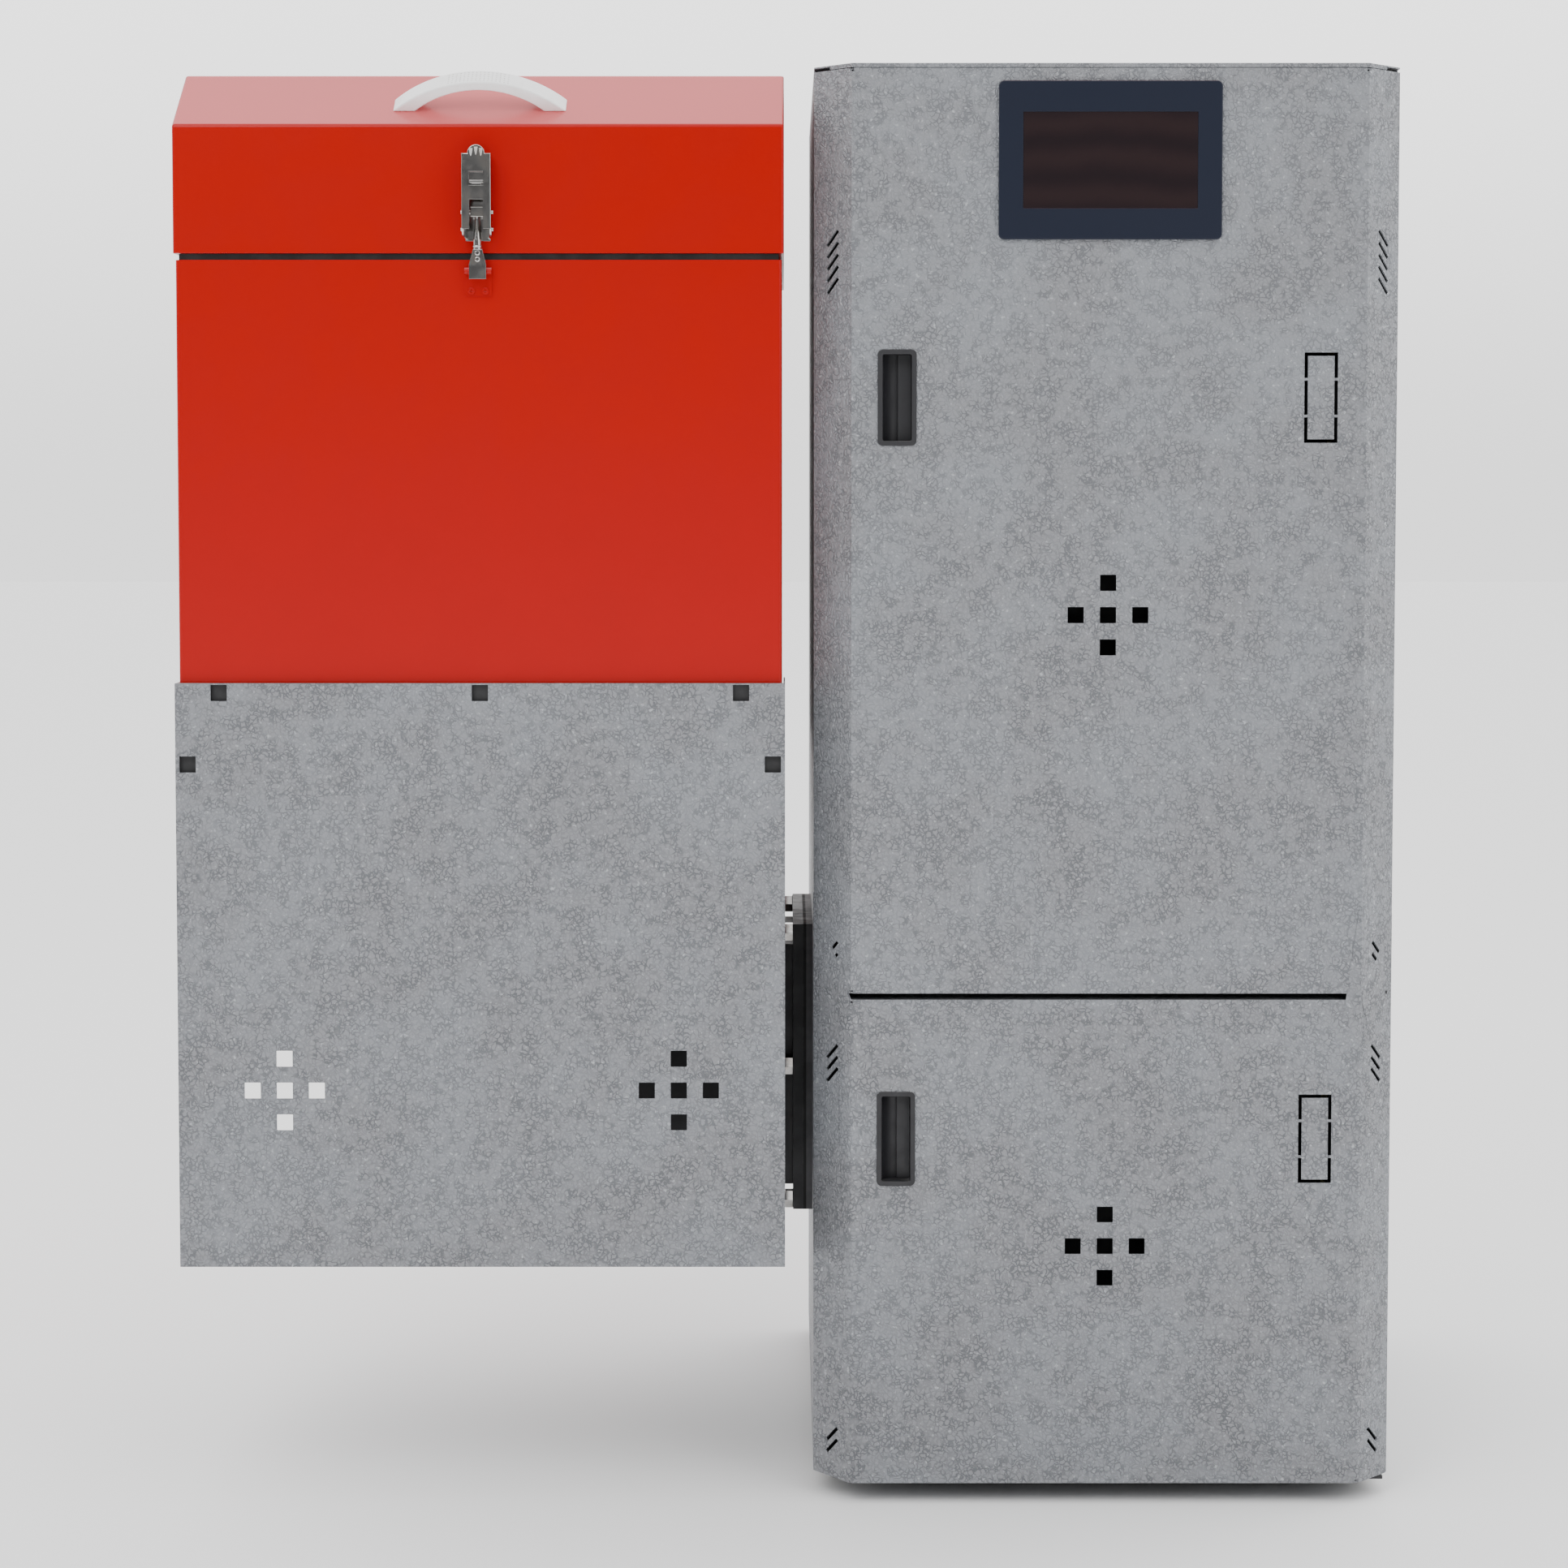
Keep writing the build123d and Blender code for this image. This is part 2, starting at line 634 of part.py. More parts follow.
def left_casing_panel():
    """Left side, cut out round the feeder neck."""
    half = NECK_SIZE / 2 + NECK_CLEAR
    low = (casing_left - OVER, feeder_y - half, FEEDER_HEIGHT - half)
    high = (casing_left + SHEET + OVER, feeder_y + half, FEEDER_HEIGHT + half)
    return casing_side(casing_left, 1) - block(low, high)


def right_casing_panel():
    """Right side, plain."""
    return casing_side(casing_right, -1)


def top_casing_panel():
    """Lid sheet of the casing, chamfered like the doors, its front edge folded down to them."""
    outline = door_outline(0, casing_rear)
    sheet = Pos(0, 0, panel_top) * extrude(outline, SHEET)
    fold = TOP_GAP - TOP_SEAM
    lip = extrude(outline, fold) - extrude(door_outline(SHEET, casing_rear - SHEET), fold)
    behind = (casing_left - OVER, door_front + TOP_LIP_REACH, -OVER)
    lip -= block(behind, (casing_right + OVER, casing_rear + OVER, fold + OVER))
    return sheet + Pos(0, 0, panel_top - fold) * lip


def rear_holes(margin):
    """Round holes in the back for flue, pipes and drain."""
    near = jacket_rear
    far = casing_rear + OVER
    holes = rod_y(near, far, casing_mid, collar_z, COLLAR_RADIUS + margin)
    holes += rod_y(near, far, casing_mid + PIPE_SPREAD, supply_z, PIPE_RADIUS + margin)
    holes += rod_y(near, far, casing_mid + PIPE_SPREAD, return_z, PIPE_RADIUS + margin)
    holes += rod_y(near, far, casing_mid - PIPE_SPREAD, return_z, DRAIN_RADIUS + margin)
    return holes


def rear_casing_panel():
    """Back sheet between the sides."""
    low = (casing_left + SHEET, casing_rear - SHEET, FOOT_HEIGHT)
    return block(low, (casing_right - SHEET, casing_rear, panel_top)) - rear_holes(PIPE_HOLE_GAP)


def door_frame():
    """Flat frame behind the doors with one opening for each inner door."""
    low_x = casing_left + SHEET
    high_x = casing_right - SHEET
    frame = block((low_x, frame_front, FOOT_HEIGHT), (high_x, frame_back, panel_top))
    half = CASING_WIDTH / 2 - FRAME_SIDE
    middle = casing_mid + FRAME_SHIFT
    crossbar = lower_top + DOOR_GAP / 2
    lower_span = (FOOT_HEIGHT + FRAME_RAIL, crossbar - FRAME_RAIL / 2)
    upper_span = (crossbar + FRAME_RAIL / 2, panel_top - FRAME_RAIL / 2)
    for low_z, high_z in (lower_span, upper_span):
        low = (middle - half, frame_front - OVER, low_z)
        frame -= block(low, (middle + half, frame_back + OVER, high_z))
    return frame


def base_frame():
    """Welded channel ring under the water jacket."""
    low = (casing_left + SHEET, frame_back + SHEET, FOOT_HEIGHT)
    high = (casing_right - SHEET, casing_rear - SHEET, jacket_bottom)
    ring = block(low, high)
    well_low = (low[0] + CHANNEL_BORDER, low[1] + CHANNEL_BORDER, low[2] - OVER)
    ring -= block(well_low, (high[0] - CHANNEL_BORDER, high[1] - CHANNEL_BORDER, high[2] + OVER))
    groove_low = [value + CHANNEL_WALL for value in low]
    groove_high = [value - CHANNEL_WALL for value in high]
    return ring - block(groove_low, groove_high)


def levelling_feet():
    """Four screw feet."""
    feet = []
    for x in (casing_left + FOOT_INSET, casing_right - FOOT_INSET):
        for y in (frame_back + FOOT_INSET, casing_rear - FOOT_INSET):
            pad = rod_z(0, FOOT_PAD_HEIGHT, x, y, FOOT_PAD_RADIUS)
            feet.append(pad + rod_z(FOOT_PAD_HEIGHT, FOOT_HEIGHT, x, y, FOOT_STEM_RADIUS))
    return group(feet)


def bracket(z_low, z_high, pins):
    """Flat hinge bracket that carries door pins up or down."""
    x, y = door_axis
    piece = block((x - BRACKET_HALF, y - BRACKET_NOSE, z_low), (x + BRACKET_HALF, frame_front, z_high))
    for start, end in pins:
        piece += rod_z(start, end, x, y, DOOR_PIN_RADIUS)
    return piece


def door_hinge_pins():
    """Three brackets with the pins that both outer doors turn on."""
    clear = (DOOR_GAP - BRACKET_PLATE) / 2
    top_plate = panel_top - TOP_GAP / 2
    top = bracket(top_plate, panel_top, [(upper_top - DOOR_PIN_REACH, top_plate)])
    mid_low = lower_top + clear
    mid_high = mid_low + BRACKET_PLATE
    pins = [(mid_high, upper_bottom + DOOR_PIN_REACH), (lower_top - DOOR_PIN_REACH, mid_low)]
    middle = bracket(mid_low, mid_high, pins)
    low_top = lower_bottom - clear
    bottom = bracket(low_top - BRACKET_PLATE, low_top, [(low_top, lower_bottom + DOOR_PIN_REACH)])
    low = (door_axis[0] - BRACKET_HALF, frame_front, low_top - BRACKET_PLATE)
    bottom += block(low, (door_axis[0] + BRACKET_HALF, frame_back, lower_bottom))
    return group([top, middle, bottom])


def catch_magnets():
    """Two magnets for each outer door, on the frame's left edge."""
    pieces = []
    x = casing_left + SHEET + MAGNET_SIDE_GAP
    near = door_back + FIT
    lower = (lower_bottom + LOWER_MAGNET_INSET, lower_top - LOWER_MAGNET_INSET)
    upper = (upper_bottom + UPPER_MAGNET_INSET, upper_top - UPPER_MAGNET_INSET)
    for z in lower + upper:
        pieces.append(block((x, near, z - MAGNET_HALF), (x + MAGNET_WIDTH, frame_front, z + MAGNET_HALF)))
    return group(pieces)


def insulation_wrap():
    """Mineral wool slabs on the sides, back and top of the water jacket."""
    low_z = jacket_bottom + WOOL_FOOT_GAP
    skin = SHEET + WOOL_GAP
    slabs = []
    neck_half = NECK_SIZE / 2 + NECK_CLEAR
    left = block((casing_left + skin, jacket_front, low_z), (jacket_left, jacket_rear, jacket_top))
    low = (casing_left, feeder_y - neck_half, FEEDER_HEIGHT - neck_half)
    slabs.append(left - block(low, (jacket_left + OVER, feeder_y + neck_half, FEEDER_HEIGHT + neck_half)))
    slabs.append(block((jacket_right, jacket_front, low_z), (casing_right - skin, jacket_rear, jacket_top)))
    back = block((jacket_left, jacket_rear, low_z), (jacket_right, casing_rear - skin, jacket_top))
    slabs.append(back - rear_holes(PIPE_HOLE_GAP))
    high = (jacket_right, jacket_rear, panel_top - WOOL_TOP_GAP)
    slabs.append(block((jacket_left, jacket_front, jacket_top), high))
    return group(slabs)


# ---- water jacket ----
def inner_door_spans():
    """Bottom and height of the cleaning door and of the furnace door."""
    return [(CLEANING_DOOR_BOTTOM, cleaning_height), (FURNACE_DOOR_BOTTOM, furnace_height)]


def hatch(bottom, height, near, far):
    """Cutter for the opening behind an inner door."""
    low = (inner_door_left + HATCH_MARGIN, near, bottom + HATCH_MARGIN)
    return block(low, (inner_door_right - HATCH_MARGIN, far, bottom + height - HATCH_MARGIN))


def water_jacket():
    """Double-walled welded body with its chamber, feeder neck and flue passage."""
    body = block((jacket_left, jacket_front, jacket_bottom), (jacket_right, jacket_rear, jacket_top))
    low = (chamber_left, chamber_front, chamber_bottom)
    chamber = block(low, (chamber_right, chamber_rear, chamber_top))
    low = (jacket_left + OUTER_WALL, chamber_front, chamber_bottom)
    water = block(low, (jacket_right - OUTER_WALL, jacket_rear - OUTER_WALL, jacket_top - OUTER_WALL))
    low = (chamber_left - INNER_WALL, chamber_front, chamber_bottom)
    water -= block(low, (chamber_right + INNER_WALL, chamber_rear + INNER_WALL, chamber_top + INNER_WALL))
    body -= chamber
    body -= water
    half = NECK_SIZE / 2
    low = (neck_face, feeder_y - half, FEEDER_HEIGHT - half)
    body += block(low, (chamber_left, feeder_y + half, FEEDER_HEIGHT + half))
    half_width = FLANGE_WIDTH / 2
    half_height = FLANGE_HEIGHT / 2
    low = (neck_face, feeder_y - half_width, FEEDER_HEIGHT - half_height)
    body += block(low, (casing_left, feeder_y + half_width, FEEDER_HEIGHT + half_height))
    half -= NECK_WALL
    low = (neck_face - OVER, feeder_y - half, FEEDER_HEIGHT - half)
    body -= block(low, (chamber_left + OVER, feeder_y + half, FEEDER_HEIGHT + half))
    body += rod_y(chamber_rear, jacket_rear, casing_mid, collar_z, COLLAR_RADIUS)
    rear = jacket_rear + OVER
    body -= rod_y(chamber_rear - OVER, rear, casing_mid, collar_z, COLLAR_RADIUS - COLLAR_WALL)
    for z in (supply_z, return_z):
        body -= rod_y(jacket_rear - OUTER_WALL - OVER, rear, casing_mid + PIPE_SPREAD, z, PIPE_BORE)
    for bottom, height in inner_door_spans():
        body -= hatch(bottom, height, jacket_front - OVER, chamber_front + OVER)
    return body


def flue_baffles():
    """Three plates that send the gases back and forth."""
    plates = []
    for index, drop in enumerate(BAFFLE_DROPS):
        z = chamber_top - drop
        front = chamber_front + (BAFFLE_PASSAGE if index % 2 == 0 else 0)
        back = chamber_rear - (0 if index % 2 == 0 else BAFFLE_PASSAGE)
        plates.append(block((chamber_left, front, z), (chamber_right, back, z + BAFFLE_THICKNESS)))
    return group(plates)


def flue_collar():
    """Flanged outlet for the flue pipe."""
    inner = COLLAR_RADIUS - COLLAR_WALL
    seat = casing_rear + COLLAR_WALL
    collar = rod_y(jacket_rear, seat, casing_mid, collar_z, COLLAR_RADIUS - SLEEVE_GAP)
    collar += rod_y(casing_rear, seat, casing_mid, collar_z, COLLAR_FLANGE_RADIUS)
    collar += rod_y(seat, casing_rear + COLLAR_LENGTH, casing_mid, collar_z, COLLAR_RADIUS)
    end = casing_rear + COLLAR_LENGTH + OVER
    return collar - rod_y(jacket_rear - OVER, end, casing_mid, collar_z, inner)


def water_pipe(z):
    """Pipe stub with a larger threaded end outside the casing."""
    x = casing_mid + PIPE_SPREAD
    shoulder = casing_rear + PIPE_HOLE_GAP
    end = casing_rear + PIPE_REACH
    pipe = rod_y(jacket_rear, shoulder, x, z, PIPE_RADIUS - SLEEVE_GAP)
    pipe += rod_y(shoulder, end, x, z, PIPE_RADIUS)
    return pipe - rod_y(jacket_rear - OVER, end + OVER, x, z, PIPE_BORE)


def drain_valve():
    """Brass drain cock with a hose end and a small tap key."""
    x = casing_mid - PIPE_SPREAD
    end = casing_rear + DRAIN_REACH
    body_start = casing_rear + DRAIN_BODY_START
    body_end = body_start + DRAIN_BODY_LENGTH
    key_y = (body_start + body_end) / 2
    valve = rod_y(jacket_rear, end, x, return_z, DRAIN_RADIUS)
    valve += rod_y(body_start, body_end, x, return_z, DRAIN_RADIUS + DRAIN_BODY_GROWTH)
    valve += rod_z(return_z, return_z + TAP_STEM_HEIGHT, x, key_y, TAP_STEM_RADIUS)
    low = (x - TAP_KEY_HALF, key_y - TAP_KEY_THICKNESS / 2, return_z + TAP_KEY_LOW)
    high = (x + TAP_KEY_HALF, key_y + TAP_KEY_THICKNESS / 2, low[2] + TAP_KEY_HEIGHT)
    valve += block(low, high)
    return valve - rod_y(end - DRAIN_MOUTH, end + OVER, x, return_z, DRAIN_RADIUS - DRAIN_WALL)


# ---- inner doors ----
def inner_door_plate(bottom, height):
    """Filled steel door with a rope groove and two knuckles."""
    top = bottom + height
    x, y = inner_axis
    plate = block((inner_door_left, inner_door_front, bottom), (inner_door_right, inner_door_back, top))
    plate -= rope_ring(bottom, height, inner_door_back - ROPE_GROOVE, inner_door_back + OVER)
    for share in HINGE_SHARES:
        middle = bottom + share * height
        low = middle - KNUCKLE_HEIGHT / 2
        high = middle + KNUCKLE_HEIGHT / 2
        plate += rod_z(low, high, x, y, INNER_KNUCKLE_RADIUS)
        arm_low = (inner_door_right - OVER, y - KNUCKLE_ARM_HALF, low)
        plate += block(arm_low, (x, y + KNUCKLE_ARM_HALF, high))
        plate -= rod_z(low - OVER, high + OVER, x, y, INNER_PIN_RADIUS + RUNNING)
    shaft_x = inner_door_left + GRIP_INSET
    shaft_z = bottom + height / 2
    bore = GRIP_SHAFT_RADIUS + RUNNING
    return plate - rod_y(inner_door_front - OVER, inner_door_back + OVER, shaft_x, shaft_z, bore)


def rope_ring(bottom, height, near, far):
    """Rectangular ring just outside the hatch."""
    margin = HATCH_MARGIN - ROPE_WIDTH - ROPE_GAP
    low = (inner_door_left + margin, near, bottom + margin)
    high = (inner_door_right - margin, far, bottom + height - margin)
    ring = block(low, high)
    low = (low[0] + ROPE_WIDTH, near - OVER, low[2] + ROPE_WIDTH)
    return ring - block(low, (high[0] - ROPE_WIDTH, far + OVER, high[2] - ROPE_WIDTH))


def door_rope(bottom, height):
    """Glass-fibre sealing rope in its groove."""
    return rope_ring(bottom, height, inner_door_back - ROPE_GROOVE, jacket_front - FIT)


def door_grip(bottom, height):
    """Turning handle: shaft, boss and a grip that hangs down."""
    x = inner_door_left + GRIP_INSET
    z = bottom + height / 2
    boss_front = inner_door_front - FIT
    grip_y = door_front + GRIP_FRONT
    handle = rod_y(grip_y, inner_door_back, x, z, GRIP_SHAFT_RADIUS)
    handle += rod_y(grip_y, boss_front, x, z, GRIP_BOSS_RADIUS)
    grip_top = z - GRIP_LENGTH / 2
    arm_back = grip_y + GRIP_ARM_DEPTH
    handle += block((x - GRIP_ARM_HALF, grip_y, grip_top), (x + GRIP_ARM_HALF, arm_back, z))
    return handle + rod_z(z - GRIP_LENGTH, grip_top, x, arm_back, GRIP_RADIUS)


def inner_door_hinges():
    """Pairs of lugs on the jacket's front, each pair with its pin."""
    x, y = inner_axis
    pieces = []
    reach = KNUCKLE_HEIGHT / 2 + LUG_GAP
    outside = reach + LUG_THICKNESS
    for bottom, height in inner_door_spans():
        for share in HINGE_SHARES:
            middle = bottom + share * height
            hinge = rod_z(middle - outside, middle + outside, x, y, INNER_PIN_RADIUS)
            for low in (middle - outside, middle + reach):
                high = (x + LUG_HALF, jacket_front, low + LUG_THICKNESS)
                hinge += block((x - LUG_HALF, y - LUG_HALF, low), high)
            pieces.append(hinge)
    return group(pieces)


# ---- feeder ----
def feeder_flange():
    """Bolted plate that carries the feeder on the jacket's neck."""
    half_width = FLANGE_WIDTH / 2
    half_height = FLANGE_HEIGHT / 2
    low = (flange_face, feeder_y - half_width, FEEDER_HEIGHT - half_height)
    plate = block(low, (gasket_face, feeder_y + half_width, FEEDER_HEIGHT + half_height))
    return plate - neck_window(flange_face, gasket_face) - stud_holes(flange_face, gasket_face)


def neck_window(start, end):
    """Square passage of the neck between two depths along X."""
    half = NECK_SIZE / 2 - NECK_WALL
    low = (start - OVER, feeder_y - half, FEEDER_HEIGHT - half)
    return block(low, (end + OVER, feeder_y + half, FEEDER_HEIGHT + half))


def stud_places():
    """Places of the six flange studs, in Y and Z."""
    side = FLANGE_WIDTH / 2 - STUD_MARGIN
    rise = FLANGE_HEIGHT / 2 - STUD_MARGIN
    return [(feeder_y + a * side, FEEDER_HEIGHT + b * rise) for a in (-1, 1) for b in (-1, 0, 1)]


def stud_holes(start, end):
    """Clearance holes for the studs."""
    holes = Part()
    for y, z in stud_places():
        holes += rod_x(start - OVER, end + OVER, y, z, STUD_RADIUS + FIT)
    return holes


def flange_gasket():
    """Sealing sheet between the flange and the neck."""
    half_width = FLANGE_WIDTH / 2
    half_height = FLANGE_HEIGHT / 2
    low = (gasket_face, feeder_y - half_width, FEEDER_HEIGHT - half_height)
    sheet = block(low, (neck_face, feeder_y + half_width, FEEDER_HEIGHT + half_height))
    return sheet - neck_window(gasket_face, neck_face) - stud_holes(gasket_face, neck_face)


def flange_studs():
    """Studs on the neck with their nuts, one solid each."""
    pieces = []
    for y, z in stud_places():
        stud = rod_x(flange_face - STUD_REACH, neck_face, y, z, STUD_RADIUS)
        seat = Plane((flange_face, y, z), x_dir=(0, 1, 0), z_dir=(-1, 0, 0))
        hexagon = seat * RegularPolygon(NUT_ACROSS / 2, 6, False)
        pieces.append(stud + extrude(hexagon, NUT_HEIGHT))
    return group(pieces)


def feeder_tube():
    """Round pipe with the fuel inlet on top."""
    tube = rod_x(tube_left, tube_right, feeder_y, FEEDER_HEIGHT, TUBE_RADIUS)
    tube -= rod_x(tube_left - OVER, tube_right + OVER, feeder_y, FEEDER_HEIGHT, TUBE_RADIUS - TUBE_WALL)
    half = THROAT_DEPTH / 2 - FUNNEL_SHEET
    low = (throat_left + FUNNEL_SHEET, feeder_y - half, FEEDER_HEIGHT)
    high = (throat_left + THROAT_WIDTH - FUNNEL_SHEET, feeder_y + half, FEEDER_HEIGHT + TUBE_RADIUS)
    return tube - block(low, high)


def air_box():
    """Sheet box round the tube that leads fan air into the neck."""
    half_depth = AIR_BOX_DEPTH / 2
    half_height = AIR_BOX_HEIGHT / 2
    low = (air_box_left, feeder_y - half_depth, FEEDER_HEIGHT - half_height)
    high = (flange_face, feeder_y + half_depth, FEEDER_HEIGHT + half_height)
    box = block(low, high)
    low = (low[0] + BOX_WALL, low[1] + BOX_WALL, low[2] + BOX_WALL)
    box -= block(low, (high[0] + OVER, high[1] - BOX_WALL, high[2] - BOX_WALL))
    box -= rod_x(air_box_left - OVER, air_box_left + BOX_WALL + OVER, feeder_y, FEEDER_HEIGHT, TUBE_RADIUS)
    duct_start = air_box_rear - BOX_WALL - OVER
    box -= rod_y(duct_start, air_box_rear + OVER, fan_x, FEEDER_HEIGHT, FAN_DUCT_RADIUS)
    pocket = NUT_ACROSS / 2 + NUT_POCKET_GAP
    for y, z in stud_places():
        box -= rod_x(flange_face - STUD_REACH - OVER, flange_face + OVER, y, z, pocket)
    return box


def auger():
    """Feed screw: one flight on a round shaft."""
    start = tube_left + AUGER_END_GAP
    length = tube_right - start
    root = AUGER_SHAFT_RADIUS - FLIGHT_ROOT
    blade = Pos((AUGER_RADIUS + root) / 2, 0) * Rectangle(AUGER_RADIUS - root, AUGER_FLIGHT)
    twist = 360 * length / AUGER_PITCH
    run = (0, 0, length)
    flight = Solid.extrude_linear_with_rotation(blade.face(), center=(0, 0, 0), normal=run, angle=twist)
    core = rod_z(-AUGER_SHAFT_IN_GEARBOX - AUGER_END_GAP, length, 0, 0, AUGER_SHAFT_RADIUS)
    return Pos(start, feeder_y, FEEDER_HEIGHT) * Rot(0, 90, 0) * (core + flight)


def gearbox():
    """Gear case that closes the tube's outer end."""
    low = (tube_left - GEARBOX_LENGTH, feeder_y - GEARBOX_DEPTH / 2, FEEDER_HEIGHT - GEARBOX_HEIGHT / 2)
    high = (tube_left, feeder_y + GEARBOX_DEPTH / 2, FEEDER_HEIGHT + GEARBOX_HEIGHT / 2)
    case = fillet(block(low, high).edges().filter_by(Axis.X), GEARBOX_ROUNDING)
    start = tube_left - AUGER_SHAFT_IN_GEARBOX - OVER
    bore = AUGER_SHAFT_RADIUS + RUNNING
    return case - rod_x(start, tube_left + OVER, feeder_y, FEEDER_HEIGHT, bore)


def gear_motor():
    """Ribbed motor behind the gearbox."""
    x = tube_left - MOTOR_RADIUS - MOTOR_TUBE_GAP
    start = feeder_y + GEARBOX_DEPTH / 2
    motor = rod_y(start, start + MOTOR_LENGTH, x, FEEDER_HEIGHT, MOTOR_RADIUS - RIB_HEIGHT)
    for index in range(MOTOR_RIBS):
        near = start + RIB_START + index * RIB_PITCH
        motor += rod_y(near, near + RIB_WIDTH, x, FEEDER_HEIGHT, MOTOR_RADIUS)
    return motor


def fan_housing():
    """Round fan case behind the air box."""
    start = air_box_rear
    end = start + FAN_DEPTH
    case = rod_y(start, end, fan_x, FEEDER_HEIGHT, FAN_RADIUS)
    case -= rod_y(start + BOX_WALL, end - BOX_WALL, fan_x, FEEDER_HEIGHT, FAN_RADIUS - BOX_WALL)
    return case - rod_y(start - OVER, end + OVER, fan_x, FEEDER_HEIGHT, FAN_DUCT_RADIUS)


def fan_impeller():
    """Hub disc with straight blades and its shaft."""
    near = air_box_rear + BOX_WALL + IMPELLER_GAP
    far = near + IMPELLER_DEPTH
    shaft_end = air_box_rear + FAN_DEPTH + SPIDER_DEPTH + FAN_SHAFT_REACH
    wheel = rod_y(near, near + IMPELLER_DISC, fan_x, FEEDER_HEIGHT, IMPELLER_RADIUS)
    wheel += rod_y(near, far, fan_x, FEEDER_HEIGHT, IMPELLER_HUB_RADIUS)
    wheel += rod_y(far, shaft_end, fan_x, FEEDER_HEIGHT, FAN_SHAFT_RADIUS)
    blade_end = IMPELLER_RADIUS - OVER
    for index in range(IMPELLER_BLADES):
        turn = Pos(fan_x, 0, FEEDER_HEIGHT) * Rot(0, index * 360 / IMPELLER_BLADES, 0)
        low = (blade_end - BLADE_LENGTH, near, -BLADE_HALF)
        wheel += turn * block(low, (blade_end, far, BLADE_HALF))
    return wheel


def fan_motor():
    """Motor on a three-armed carrier over the fan's intake."""
    face = air_box_rear + FAN_DEPTH
    start = face + SPIDER_DEPTH
    motor = rod_y(start, start + FAN_MOTOR_LENGTH, fan_x, FEEDER_HEIGHT, FAN_MOTOR_RADIUS)
    for index in range(3):
        turn = Pos(fan_x, 0, FEEDER_HEIGHT) * Rot(0, 90 + index * 120, 0)
        high = (FAN_RADIUS - SPIDER_RIM, start + OVER, SPIDER_HALF)
        motor += turn * block((SPIDER_START, face, -SPIDER_HALF), high)
    bore = FAN_SHAFT_RADIUS + RUNNING
    return motor - rod_y(face - OVER, start + FAN_SOCKET_DEPTH, fan_x, FEEDER_HEIGHT, bore)


# ---- burner ----
def burner_retort():
    """Cast bowl with a side port for the feeder tube."""
    inner = RETORT_RADIUS - RETORT_WALL
    port_start = retort_left - PORT_LENGTH
    port_end = retort_left + PORT_DEPTH
    bowl = rod_z(retort_bottom, retort_top, casing_mid, feeder_y, RETORT_RADIUS)
    bowl += rod_x(port_start, casing_mid, feeder_y, FEEDER_HEIGHT, PORT_RADIUS)
    bowl -= rod_z(retort_bottom + RETORT_WALL, retort_top + OVER, casing_mid, feeder_y, inner)
    return bowl - rod_x(port_start - OVER, port_end, feeder_y, FEEDER_HEIGHT, TUBE_RADIUS)


def burner_ring():
    """Air ring on the bowl with radial nozzles."""
    inner = RETORT_RADIUS - RETORT_WALL
    middle = (retort_top + ring_top) / 2
    ring = rod_z(retort_top, ring_top, casing_mid, feeder_y, RING_RADIUS)
    ring -= rod_z(retort_top - OVER, ring_top + OVER, casing_mid, feeder_y, inner)
    for index in range(RING_NOZZLES):
        turn = Pos(casing_mid, feeder_y, middle) * Rot(0, 0, index * 360 / RING_NOZZLES)
        ring -= turn * rod_x(inner - OVER, RING_RADIUS + OVER, 0, 0, NOZZLE_RADIUS)
    return ring


def flame_deflector():
    """Cast dish on three legs over the burner."""
    low = ring_top + DEFLECTOR_LIFT
    reach = DEFLECTOR_RADIUS - DEFLECTOR_LEG_INSET
    dish = rod_z(low, low + DEFLECTOR_THICKNESS, casing_mid, feeder_y, DEFLECTOR_RADIUS)
    for index in range(3):
        angle = math.radians(30 + index * 120)
        x = casing_mid + reach * math.cos(angle)
        y = feeder_y + reach * math.sin(angle)
        dish += rod_z(ring_top, low, x, y, DEFLECTOR_LEG_RADIUS)
    return dish


def ash_drawer():
    """Open tray on the chamber floor with a front grip."""
    low = (casing_mid - drawer_half, drawer_front, chamber_bottom)
    high = (casing_mid + drawer_half, drawer_rear, chamber_bottom + DRAWER_HEIGHT)
    tray = block(low, high)
    low = (low[0] + DRAWER_SHEET, low[1] + DRAWER_SHEET, low[2] + DRAWER_SHEET)
    return tray - block(low, (high[0] - DRAWER_SHEET, high[1] - DRAWER_SHEET, high[2] + OVER))


# ---- hopper ----
def hopper_body():
    """Red sheet box with a rim folded inwards."""
    low = (hopper_mid - hopper_half, hopper_front, HOPPER_BOTTOM)
    high = (hopper_mid + hopper_half, hopper_rear, HOPPER_TOP)
    body = tube_wall(low, high, SHEET)
    rim_low = (low[0], low[1], HOPPER_TOP - SHEET)
    body += tube_wall(rim_low, high, RIM_FLANGE)
    for side in (-1, 1):
        x = hopper_mid + side * SCREW_SPREAD
        far = hopper_front + SHEET + OVER
        body -= rod_y(hopper_front - OVER, far, x, keeper_screw_z, SCREW_SHANK_RADIUS + SCREW_HOLE_GAP)
    return body


def pyramid(half_top_x, half_top_y, half_low_x, half_low_y):
    """Solid with sloping sides between the hopper's floor line and the throat."""
    top_middle = (hopper_mid, (hopper_front + hopper_rear) / 2, HOPPER_BOTTOM)
    low_middle = (hopper_mid, feeder_y, throat_top)
    top = Plane(top_middle) * Rectangle(2 * half_top_x, 2 * half_top_y)
    low = Plane(low_middle) * Rectangle(2 * half_low_x, 2 * half_low_y)
    return loft([low, top])


